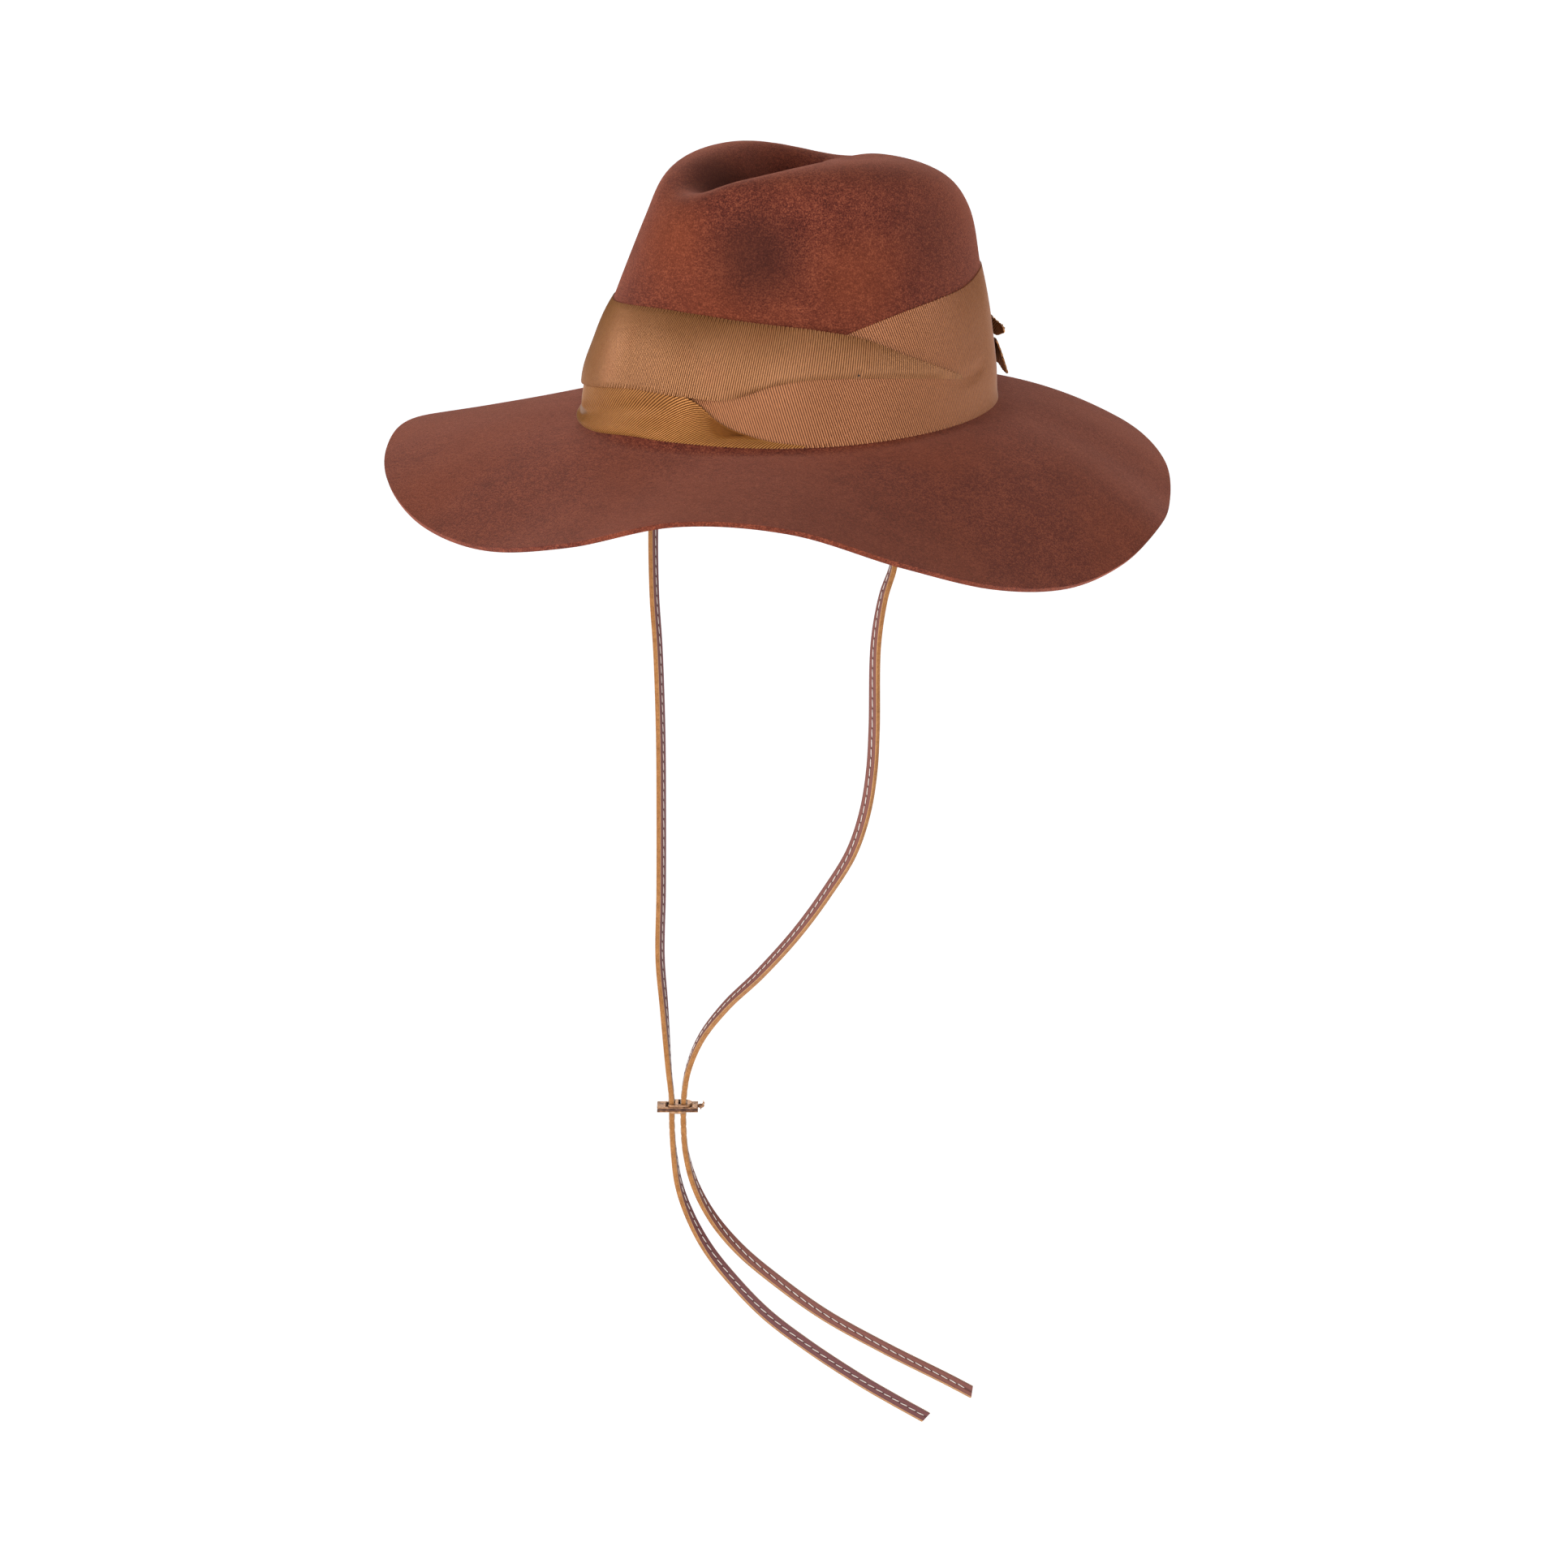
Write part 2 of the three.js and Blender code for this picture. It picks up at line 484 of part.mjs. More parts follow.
// Flat plate with half-round ends, standing on z = base
function roundPlate(length, depth, height, base, x) {
  const radius = depth / 2;
  const reach = length / 2 - radius;
  const shape = new THREE.Shape();
  shape.absarc(reach, 0, radius, -Math.PI / 2, Math.PI / 2, false);
  shape.absarc(-reach, 0, radius, Math.PI / 2, (3 * Math.PI) / 2, false);
  const geometry = new THREE.ExtrudeGeometry(shape, { depth: height, bevelEnabled: false, curveSegments: 6 });
  return geometry.translate(x, 0, base);
}

// Slide: bar, collar, lip and claw in one casting, with a slot for each half of the strap
function strapSlide() {
  const { length, depth, thickness } = SLIDE;
  const overlap = 0.2;
  const bar = toManifold(new THREE.BoxGeometry(length, depth, thickness));
  const collar = toManifold(roundPlate(
    SLIDE_COLLAR.length, SLIDE_COLLAR.depth, SLIDE_COLLAR.height + overlap, thickness / 2 - overlap, 0.6));
  const lip = toManifold(roundPlate(
    SLIDE_LIP.length, SLIDE_LIP.depth, SLIDE_LIP.height + overlap, -thickness / 2 - SLIDE_LIP.height, 0));
  const clawShape = new THREE.CylinderGeometry(SLIDE_CLAW.tip, SLIDE_CLAW.depth / 2, SLIDE_CLAW.height, 6);
  clawShape.rotateX(Math.PI / 2).rotateY(0.5);
  clawShape.translate(length / 2 + SLIDE_CLAW.length / 3, 0, SLIDE_CLAW.height / 4);
  let solid = bar.add(collar).add(lip).add(toManifold(clawShape));
  for (const way of [-1, 1]) {
    const slot = new THREE.BoxGeometry(SLIDE_SLOT.length, SLIDE_SLOT.depth, thickness * 4);
    slot.translate((way * SLIDE_SLOT.spacing) / 2 + SLIDE_SLOT.shift, 0, 0);
    solid = solid.subtract(toManifold(slot));
  }
  const mesh = named('strap_slide', fromManifold(solid), COLOURS.brass);
  mesh.rotation.z = radians(SLIDE.turn);
  mesh.position.set(SLIDE.x, SLIDE.y, SLIDE.z);
  return mesh;
}

const hat = new THREE.Group();
hat.name = 'wide_brim_hat';
hat.add(feltBody());
hat.add(ribbon('ribbon_lower', RIBBON_LOWER, 38, 2, earlyFall));
hat.add(ribbon('ribbon_wide', RIBBON_WIDE, 26, 3, earlyFall));
hat.add(ribbon('ribbon_upper', RIBBON_UPPER, 48, 3, lateFall));
hat.add(bowKnot());
hat.add(ribbon('bow_tail_upper', TAIL_UPPER, 6, 3, earlyFall));
hat.add(ribbon('bow_tail_lower', TAIL_LOWER, 6, 3, earlyFall));
hat.add(strapBack());
hat.add(strand('strap_left', 1, STRAND_LEFT, TWIST_LEFT));
hat.add(strand('strap_right', -1, STRAND_RIGHT, TWIST_RIGHT));
hat.add(strapSlide());

export default hat;
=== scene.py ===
"""A wide-brim felt hat with a folded ribbon band and a stitched chin strap.

Shapes are worked out in millimetres, with +Z up, the front of the hat along -Y and the
wearer's left along +X. They become metres when a mesh is made.
"""

import logging
import math
from dataclasses import dataclass, replace
from enum import Enum
from typing import Callable, Sequence

import bpy
import numpy as np
from mathutils import Matrix, Vector


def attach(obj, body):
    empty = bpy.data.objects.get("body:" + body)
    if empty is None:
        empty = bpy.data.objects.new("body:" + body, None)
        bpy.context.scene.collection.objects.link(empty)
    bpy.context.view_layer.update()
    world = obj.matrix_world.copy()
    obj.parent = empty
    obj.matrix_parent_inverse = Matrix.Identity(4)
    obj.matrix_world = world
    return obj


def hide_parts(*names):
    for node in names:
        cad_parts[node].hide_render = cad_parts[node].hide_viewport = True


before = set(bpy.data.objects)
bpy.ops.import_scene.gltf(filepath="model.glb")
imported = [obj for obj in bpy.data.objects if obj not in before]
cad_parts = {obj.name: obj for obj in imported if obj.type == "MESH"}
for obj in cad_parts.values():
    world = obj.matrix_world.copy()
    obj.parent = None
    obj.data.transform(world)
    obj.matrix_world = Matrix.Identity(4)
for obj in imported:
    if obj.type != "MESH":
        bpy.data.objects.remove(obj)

MM = 0.001
Array = np.ndarray
Triple = tuple[float, float, float]
Colour = tuple[float, float, float, float]
log = logging.getLogger("hat")


# Small maths

def bell(distance: Array, width: float) -> Array:
    """A smooth bump that is 1 at no distance and fades over the width."""
    return np.exp(-((distance / width) ** 2))


def fade(at: Array, middle: float, length: float) -> Array:
    """1 well below the middle and 0 well above it; the other way with a length below 0."""
    return 1 / (1 + np.exp((at - middle) / length))


def unit(vectors: Array) -> Array:
    """The same directions with length 1."""
    return vectors / np.maximum(np.linalg.norm(vectors, axis=-1, keepdims=True), 1e-12)


def column(rows: Sequence[object], along: str, name: str, at: Array) -> Array:
    """Read one column of a table as a smooth curve through its rows.

    Args:
        rows: Table rows, sorted by the column named in along.
        along: Column that the curve runs along.
        name: Column whose values are read.
        at: Places along the first column.

    Returns:
        The curve's value at each place.
    """
    x = np.array([getattr(row, along) for row in rows], float)
    y = np.array([getattr(row, name) for row in rows], float)
    x = np.concatenate([[2 * x[0] - x[1]], x, [2 * x[-1] - x[-2]]])
    y = np.concatenate([[2 * y[0] - y[1]], y, [2 * y[-1] - y[-2]]])
    i = np.clip(np.searchsorted(x, at, side="left") - 1, 1, len(x) - 3)
    span = x[i + 1] - x[i]
    t = np.clip((at - x[i]) / span, 0, 1)
    slope_a = (y[i + 1] - y[i - 1]) / (x[i + 1] - x[i - 1]) * span
    slope_b = (y[i + 2] - y[i]) / (x[i + 2] - x[i]) * span
    return ((2 * t**3 - 3 * t**2 + 1) * y[i] + (t**3 - 2 * t**2 + t) * slope_a
            + (3 * t**2 - 2 * t**3) * y[i + 1] + (t**3 - t**2) * slope_b)


# The hat's blocked form

@dataclass(frozen=True)
class WallRow:
    """How far the crown wall reaches from the centre at one level."""

    level: float
    front: float
    back: float
    side: float


@dataclass(frozen=True)
class BrimRow:
    """How the brim hangs in one direction."""

    angle: float
    droop: float
    bend: float
    slant: float


@dataclass(frozen=True)
class Crease:
    """The dish in the top of the crown and the groove in it, whose back end turns aside."""

    dish: float = 26.1
    dish_half_width: float = 45.3
    dish_power: float = 3.92
    dish_back: float = 89.7
    dish_fade: float = 5.5
    groove: float = 27.8
    groove_half_width: float = 19.4
    groove_narrowing: float = 7.6
    groove_power: float = 2.43
    groove_back: float = 47.2
    groove_fade: float = 8.7
    turn: float = 23.2
    turn_middle: float = 5.8
    turn_fade: float = -9.6
    front: float = -79.1
    front_fade: float = -4.1

    def depth(self, x: Array, y: Array) -> Array:
        """How deep the crease is.

        Args:
            x: Places across the hat.
            y: Places from its front to its back.

        Returns:
            Depths in millimetres.
        """
        dish = self.dish * fade(y, self.dish_back, self.dish_fade) * np.exp(
            -((np.abs(x) / self.dish_half_width) ** self.dish_power))
        turned = fade(y, self.turn_middle, self.turn_fade)
        half_width = self.groove_half_width - self.groove_narrowing * turned
        groove = self.groove * fade(y, self.groove_back, self.groove_fade) * np.exp(
            -((np.abs(x + self.turn * turned) / half_width) ** self.groove_power))
        return (dish + groove) * fade(y, self.front, self.front_fade)


@dataclass(frozen=True)
class Press:
    """A rounded dent or swell in the felt, by its middle and its reach along two ways."""

    depth: float
    middle: tuple[float, float]
    reach: tuple[float, float]

    def at(self, first: Array, second: Array) -> Array:
        """How deep it is at places along both ways."""
        return (self.depth * bell(first - self.middle[0], self.reach[0])
                * bell(second - self.middle[1], self.reach[1]))


@dataclass(frozen=True)
class HatBlock:
    """The form that the felt is blocked on, and places measured off its wall."""

    half_width: float = 82.0
    half_length: float = 101.5
    felt_wall: float = 2.2
    height: float = 139.8
    centre_shift: float = 10.9
    height_power: float = 0.665
    shoulder_power: float = 0.59
    rise_power: float = 1.62
    narrowing: float = 0.117
    tilt: float = -0.112
    tilt_bow: float = 0.023 / 60
    crease: Crease = Crease()
    pinch: Press = Press(4.3, (88, -42), (24, 26))
    pinch_left: Press = Press(2.8, (74, -55), (17, 16))
    pinch_fade: float = 25
    front_swell: Press = Press(4.8, (13.8, -60), (14, 16))
    break_rise: float = 0.0322
    break_out: float = 6 / 94
    band_radii: tuple[float, float] = (78, 98)
    wall: tuple[WallRow, ...] = (
        WallRow(0, 101.5, 101.5, 82), WallRow(35, 94.5, 100.3, 77.6), WallRow(65, 85, 100, 73.4),
        WallRow(90, 83.2, 104, 67.3), WallRow(112, 82.1, 97.2, 63.9), WallRow(140, 77.8, 80.7, 43.6),
    )
    brim_rows: tuple[BrimRow, ...] = (
        BrimRow(0, 32.1, 1.13, 91.5), BrimRow(15, 22.6, 1.08, 93.5), BrimRow(30, 9.2, 1, 94),
        BrimRow(45, 11.2, 1, 98.2), BrimRow(60, 28.6, 1.09, 101), BrimRow(75, 44.6, 1.24, 102.6),
        BrimRow(90, 52.3, 1.39, 103.5), BrimRow(105, 51, 1.48, 100.6), BrimRow(120, 44.8, 1.56, 96.2),
        BrimRow(135, 43.4, 1.62, 93.3), BrimRow(150, 35.6, 1.76, 91.6), BrimRow(180, 25.4, 1.73, 91.4),
        BrimRow(210, 32.3, 1.5, 92.3), BrimRow(240, 22.8, 1.35, 94), BrimRow(270, 23.8, 1.38, 95.1),
        BrimRow(285, 20.2, 1.2, 96.1), BrimRow(300, 16.4, 1.22, 98.4), BrimRow(315, 18.5, 1.45, 95),
        BrimRow(330, 24.2, 1.3, 93.2), BrimRow(345, 31.4, 1.2, 92),
    )

    def crown_point(self, angle: Array, rise: Array) -> Array:
        """Outer face of the crown.

        Args:
            angle: Turn about the hat in degrees, 0 at the front and 90 at the wearer's left.
            rise: 0 at the head opening and 1 at the middle of the top.

        Returns:
            Points in millimetres.
        """
        angle, rise = np.broadcast_arrays(np.asarray(angle, float), np.asarray(rise, float))
        share = np.arctan(np.tan(math.pi / 2 * np.clip(rise, 0, 0.99999)) ** self.rise_power)
        up = np.sin(share) ** self.height_power
        out = np.cos(share) ** self.shoulder_power
        level = self.height * up
        cos, sin = np.cos(np.radians(angle)), np.sin(np.radians(angle))
        centre = self.centre_shift * up
        front = column(self.wall, "level", "front", level) + centre
        back = column(self.wall, "level", "back", level) - centre
        side = column(self.wall, "level", "side", level)
        y = centre - np.where(cos > 0, front, back) * out * cos
        x = side * out * sin * (1 - self.narrowing * up * np.clip(cos, 0, 1) ** 1.5)
        return self.dented(x, y, level, up)

    def dented(self, x: Array, y: Array, level: Array, up: Array) -> Array:
        """Tilt and dish the top, and press the groove, the side pinches and the front swell into it.

        Args:
            x: Places across the hat.
            y: Places from its front to its back.
            level: Heights before the presses.
            up: 0 at the head opening and 1 at the top.

        Returns:
            Points in millimetres.
        """
        tilt = self.tilt * y + self.tilt_bow * y * y
        dent = self.pinch.at(level, y) + self.pinch_left.at(level, y) * (x > 0)
        crease = self.crease.depth(x, y) * up**6
        x = x - np.sign(x) * dent * np.clip(np.abs(x) / self.pinch_fade, 0, 1)
        swell = self.front_swell.at(x, y) * up**4
        return np.stack([x, y, level + tilt * up * up - crease + swell], axis=-1)

    def brim_point(self, angle: Array, out: Array) -> Array:
        """Outer face of the brim.

        Args:
            angle: Turn about the hat in degrees.
            out: 0 at the head opening and 1 at the cut edge.

        Returns:
            Points in millimetres.
        """
        angle, out = np.broadcast_arrays(np.asarray(angle, float), np.asarray(out, float))
        start_x = self.half_width * np.sin(np.radians(angle))
        start_y = -self.half_length * np.cos(np.radians(angle))
        bearing = np.arctan2(start_x, -start_y)
        turn = np.degrees(bearing) % 360
        ring = [*(replace(row, angle=row.angle - 360) for row in self.brim_rows[-2:]), *self.brim_rows,
                *(replace(row, angle=row.angle + 360) for row in self.brim_rows[:3])]
        droop, bend, slant = (column(ring, "angle", name, turn) for name in ("droop", "bend", "slant"))
        reach = np.sqrt(slant**2 - droop**2) * out
        return np.stack([start_x + np.sin(bearing) * reach, start_y - np.cos(bearing) * reach,
                         -droop * out**bend], axis=-1)

    def corner_point(self, angle: Array, share: float) -> Array:
        """The rounded break between the crown and the brim.

        Args:
            angle: Turn about the hat in degrees.
            share: 0 at the wall and 1 on the brim.

        Returns:
            Points in millimetres.
        """
        wall = self.crown_point(angle, self.break_rise)
        bend = self.brim_point(angle, 0.0)
        flat = self.brim_point(angle, self.break_out)
        return wall * (1 - share) ** 2 + bend * 2 * share * (1 - share) + flat * share**2

    def rise_at(self, angle: Array, height: Array) -> Array:
        """Turn a height of the crown wall into its rise, by halving.

        Args:
            angle: Turn about the hat in degrees.
            height: Height above the head opening.

        Returns:
            The rise at each place.
        """
        low = np.zeros(np.broadcast(angle, height).shape)
        high = low + 0.62
        for _ in range(24):
            middle = (low + high) / 2
            below = self.crown_point(angle, middle)[..., 2] < height
            low, high = np.where(below, middle, low), np.where(below, high, middle)
        return (low + high) / 2

    def wall_point(self, angle: Array, height: Array, distance: Array) -> Array:
        """A point that stands off the crown wall at a height.

        Args:
            angle: Turn about the hat in degrees.
            height: Height above the head opening.
            distance: How far it stands off; less than 0 is inside the hat.

        Returns:
            Points in millimetres.
        """
        rise = self.rise_at(angle, np.maximum(height, 0.5))
        point = self.crown_point(angle, rise)
        safe = np.maximum(rise, 0.01)
        along = self.crown_point(angle + 0.5, safe) - self.crown_point(angle - 0.5, safe)
        upward = self.crown_point(angle, safe + 0.004) - self.crown_point(angle, safe - 0.004)
        normal = unit(np.cross(along, upward))
        point[..., 2] = height
        return point + normal * np.asarray(distance)[..., None]


BLOCK = HatBlock()


# Modelling tools

class Workbench:
    """Blender modelling steps that every piece uses."""

    @staticmethod
    def clear() -> None:
        """Leave nothing selected, in object mode."""
        if bpy.context.object and bpy.context.object.mode != "OBJECT":
            bpy.ops.object.mode_set(mode="OBJECT")
        bpy.ops.object.select_all(action="DESELECT")

    @staticmethod
    def named(name: str) -> bpy.types.Object:
        """Name the object that was just added, and its mesh.

        Args:
            name: The new name.

        Returns:
            The object.
        """
        piece = bpy.context.object
        piece.name = piece.data.name = name
        return piece

    @staticmethod
    def only(piece: bpy.types.Object) -> None:
        """Select one piece and make it active.

        Args:
            piece: The piece that the next operators act on.
        """
        Workbench.clear()
        piece.select_set(True)
        bpy.context.view_layer.objects.active = piece

    @staticmethod
    def sheet(name: str, columns: int, rows: int,
              shape: Callable[[Array, Array], Array]) -> bpy.types.Object:
        """Add a divided grid and move its vertices onto a shape.

        Args:
            name: Name of the new object.
            columns: Divisions along the first way.
            rows: Divisions along the second way.
            shape: Gives points in millimetres for arrays of both ways, each from 0 to 1.

        Returns:
            The new object, with its two ways kept in the first UV map.
        """
        Workbench.clear()
        bpy.ops.mesh.primitive_grid_add(x_subdivisions=columns, y_subdivisions=rows, size=1)
        piece = Workbench.named(name)
        blank = Workbench.points(piece)
        ways = np.round((blank[:, :2] + 0.5) * [columns, rows]).astype(int)
        whole = shape(np.linspace(0, 1, columns + 1)[None, :], np.linspace(0, 1, rows + 1)[:, None])
        Workbench.move(piece, whole[ways[:, 1], ways[:, 0]] * MM)
        return piece

    @staticmethod
    def points(piece: bpy.types.Object) -> Array:
        """Read the vertices of a piece.

        Args:
            piece: The mesh object.

        Returns:
            A table with three columns, in the mesh's own unit.
        """
        flat = np.empty(len(piece.data.vertices) * 3, np.float32)
        piece.data.vertices.foreach_get("co", flat)
        return flat.reshape(-1, 3).astype(float)

    @staticmethod
    def move(piece: bpy.types.Object, points: Array) -> None:
        """Give the vertices of a piece new places, in metres."""
        piece.data.vertices.foreach_set("co", points.astype(np.float32).ravel())
        piece.data.update()

    @staticmethod
    def uv_values(piece: bpy.types.Object, name: str, values: Array) -> None:
        """Store two numbers for each face corner in a UV map.

        Args:
            piece: The mesh object.
            name: Name of the UV map.
            values: Rows of two numbers, one for each loop.
        """
        layer = piece.data.uv_layers.get(name) or piece.data.uv_layers.new(name=name)
        layer.data.foreach_set("uv", values.astype(np.float32).ravel())

    @staticmethod
    def sheet_ways(piece: bpy.types.Object) -> Array:
        """Read the two ways of a sheet from its first UV map.

        Args:
            piece: The sheet.

        Returns:
            Rows of two shares from 0 to 1, one for each loop.
        """
        flat = np.empty(len(piece.data.loops) * 2, np.float32)
        piece.data.uv_layers[0].data.foreach_get("uv", flat)
        return flat.reshape(-1, 2).astype(float)

    @staticmethod
    def loop_vertices(piece: bpy.types.Object) -> Array:
        """Read the vertex that each face corner uses.

        Args:
            piece: The mesh object.

        Returns:
            The number of that vertex for each loop.
        """
        index = np.empty(len(piece.data.loops), np.int32)
        piece.data.loops.foreach_get("vertex_index", index)
        return index

    @staticmethod
    def edit(piece: bpy.types.Object, operator: Callable[..., set[str]], **settings: object) -> None:
        """Run one edit mode operator on the whole of a piece.

        Args:
            piece: The mesh object.
            operator: The operator from bpy.ops.mesh.
            **settings: Its settings.
        """
        Workbench.only(piece)
        bpy.ops.object.mode_set(mode="EDIT")
        bpy.ops.mesh.select_all(action="SELECT")
        operator(**settings)
        bpy.ops.object.mode_set(mode="OBJECT")

    @staticmethod
    def weld(piece: bpy.types.Object) -> None:
        """Merge the vertices that share a place, such as a seam's or a pole's."""
        Workbench.edit(piece, bpy.ops.mesh.remove_doubles, threshold=1e-6)

    @staticmethod
    def cap(piece: bpy.types.Object) -> None:
        """Close the open ends of a piece with flat faces."""
        Workbench.edit(piece, bpy.ops.mesh.fill_holes, sides=0)

    @staticmethod
    def modify(piece: bpy.types.Object, kind: str, **settings: object) -> None:
        """Add one modifier and apply it.

        Args:
            piece: The mesh object.
            kind: Blender's name for the modifier type.
            **settings: Values of its properties.
        """
        Workbench.only(piece)
        modifier = piece.modifiers.new(kind.lower(), kind)
        for key, value in settings.items():
            setattr(modifier, key, value)
        bpy.ops.object.modifier_apply(modifier=modifier.name)

    @staticmethod
    def smooth(piece: bpy.types.Object, degrees: float = 40) -> None:
        """Shade smooth, apart from edges sharper than the angle."""
        Workbench.only(piece)
        bpy.ops.object.shade_smooth_by_angle(angle=math.radians(degrees))

    @staticmethod
    def settle(piece: bpy.types.Object) -> None:
        """Put the object's place and turn into its mesh."""
        Workbench.only(piece)
        bpy.ops.object.transform_apply(location=True, rotation=True, scale=True)

    @staticmethod
    def mesh(name: str, points: Array, faces: Sequence[Sequence[int]]) -> bpy.types.Object:
        """Make an object from points and faces.

        Args:
            name: Name of the new object.
            points: Rows of three numbers in millimetres.
            faces: The numbers of the points round each face.

        Returns:
            The new object.
        """
        data = bpy.data.meshes.new(name)
        data.from_pydata((points * MM).tolist(), [], [list(face) for face in faces])
        data.validate()
        piece = bpy.data.objects.new(name, data)
        bpy.context.scene.collection.objects.link(piece)
        return piece

    @staticmethod
    def fit(piece: bpy.types.Object, slot: str, *nodes: str) -> None:
        """Let a finished piece ride on the hat and replace its solids.

        Args:
            piece: The finished piece.
            slot: Material slot of the part; not used.
            *nodes: Solids that it takes the place of.
        """
        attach(piece, "root")
        if nodes:
            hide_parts(*nodes)
        log.info("%s: %d faces", piece.name, len(piece.data.polygons))


# Shader tools

class Signal:
    """An output socket of a material; the usual operators on it add Math nodes."""

    def __init__(self, nodes: "Nodes", socket: bpy.types.NodeSocket) -> None:
        """Keep the socket and the material that it belongs to."""
        self.nodes = nodes
        self.socket = socket

    def _math(self, operation: str, *values: object) -> "Signal":
        """Add one Math node on the values."""
        return self.nodes.add("ShaderNodeMath", {"operation": operation}, dict(enumerate(values)))

    def __add__(self, other: object) -> "Signal":
        """Sum."""
        return self._math("ADD", self, other)

    __radd__ = __add__

    def __sub__(self, other: object) -> "Signal":
        """Difference."""
        return self._math("SUBTRACT", self, other)

    def __rsub__(self, other: object) -> "Signal":
        """Difference the other way."""
        return self._math("SUBTRACT", other, self)

    def __mul__(self, other: object) -> "Signal":
        """Product."""
        return self._math("MULTIPLY", self, other)

    __rmul__ = __mul__

    def sine(self) -> "Signal":
        """Sine, in radians."""
        return self._math("SINE", self)

    def size(self) -> "Signal":
        """The value without its sign."""
        return self._math("ABSOLUTE", self)

    def between(self, low: float, high: float) -> "Signal":
        """A smooth step from 0 at low to 1 at high."""
        return self.nodes.add("ShaderNodeMapRange", {"interpolation_type": "SMOOTHSTEP"},
                              {"Value": self, "From Min": low, "From Max": high})


def linear(red: float, green: float, blue: float) -> Colour:
    """A screen colour as the linear colour that a shader takes.

    Args:
        red: Red from 0 to 255.
        green: Green from 0 to 255.
        blue: Blue from 0 to 255.

    Returns:
        The linear colour, opaque.
    """
    def channel(value: float) -> float:
        """One channel."""
        value /= 255
        return value / 12.92 if value <= 0.04045 else ((value + 0.055) / 1.055) ** 2.4

    return channel(red), channel(green), channel(blue), 1.0


class Nodes:
    """The node tree of one new material."""

    def __init__(self, name: str) -> None:
        """Start an empty material.

        Args:
            name: Name of the material.
        """
        self.material = bpy.data.materials.new(name)
        self.material.use_nodes = True
        self.tree = self.material.node_tree
        self.tree.nodes.clear()

    def add(self, kind: str, settings: dict[str, object], inputs: dict[object, object],
            output: object = 0) -> Signal:
        """Add one node.

        Args:
            kind: Blender's name for the node type.
            settings: Its properties, or ramp for the stops of a colour ramp.
            inputs: Values or signals by the name or number of the input socket.
            output: Name or number of the output socket to return.

        Returns:
            That output as a signal.
        """
        node = self.tree.nodes.new(kind)
        for key, value in settings.items():
            if key == "ramp":
                self._stops(node.color_ramp, value)
            else:
                setattr(node, key, value)
        for key, value in inputs.items():
            if isinstance(value, Signal):
                self.tree.links.new(value.socket, node.inputs[key])
            else:
                node.inputs[key].default_value = value
        return Signal(self, node.outputs[output])

    @staticmethod
    def _stops(ramp: bpy.types.ColorRamp, stops: Sequence[tuple[float, Colour]]) -> None:
        """Set a ramp's stops.

        Args:
            ramp: The ramp of a new node, which has two stops.
            stops: Place and colour of each stop.
        """
        while len(ramp.elements) < len(stops):
            ramp.elements.new(0.5)
        for element, (place, colour) in zip(ramp.elements, stops):
            element.position = place
            element.color = colour

    def place(self) -> Signal:
        """Where a point of the surface is, in metres."""
        return self.add("ShaderNodeTexCoord", {}, {}, "Object")

    def uv(self, name: str) -> tuple[Signal, Signal]:
        """Read a UV map.

        Args:
            name: Name of the UV map.

        Returns:
            Its two numbers.
        """
        both = self.add("ShaderNodeUVMap", {"uv_map": name}, {})
        return (self.add("ShaderNodeSeparateXYZ", {}, {0: both}, 0),
                self.add("ShaderNodeSeparateXYZ", {}, {0: both}, 1))

    def noise(self, scale: float, detail: float = 3, rough: float = 0.5,
              stretch: Triple = (1, 1, 1), at: "Signal | None" = None) -> Signal:
        """Noise from about 0 to 1.

        Args:
            scale: Features in each metre.
            detail: How many finer layers it has.
            rough: How strong the finer layers are.
            stretch: Factors on the scale along X, Y and Z.
            at: Where it is read; the surface point if left out.

        Returns:
            The noise value.
        """
        moved = self.add("ShaderNodeMapping", {}, {"Vector": at or self.place(), "Scale": stretch})
        return self.add("ShaderNodeTexNoise", {}, {
            "Vector": moved, "Scale": scale, "Detail": detail, "Roughness": rough})

    def near(self, point: Triple, inner: float, outer: float) -> Signal:
        """A round mask about a point.

        Args:
            point: The middle, in metres.
            inner: Distance up to which the mask is 1.
            outer: Distance past which it is 0.

        Returns:
            The mask.
        """
        away = self.add("ShaderNodeVectorMath", {"operation": "DISTANCE"},
                        {0: self.place(), 1: point}, "Value")
        return 1 - away.between(inner, outer)

    def mix(self, low: object, high: object, factor: object) -> Signal:
        """A colour between two colours."""
        return self.add("ShaderNodeMix", {"data_type": "RGBA"}, {0: factor, 6: low, 7: high}, 2)

    def ramp(self, factor: Signal, *stops: tuple[float, Colour]) -> Signal:
        """A colour from a ramp."""
        return self.add("ShaderNodeValToRGB", {"ramp": stops}, {0: factor})

    def bump(self, height: Signal, depth: float, strength: float = 1.0) -> Signal:
        """A normal from a height of 0 to 1 that stands for a depth in metres."""
        return self.add("ShaderNodeBump", {}, {
            "Height": height, "Distance": depth, "Strength": strength})

    def surface(self, **sockets: object) -> bpy.types.Material:
        """Finish the material with a Principled shader.

        Args:
            **sockets: Values or signals by socket name, with _ for each space.

        Returns:
            The material.
        """
        shader = self.add("ShaderNodeBsdfPrincipled", {}, {
            key.replace("_", " "): value for key, value in sockets.items()})
        output = self.tree.nodes.new("ShaderNodeOutputMaterial")
        self.tree.links.new(shader.socket, output.inputs["Surface"])
        return self.material


# Finishes

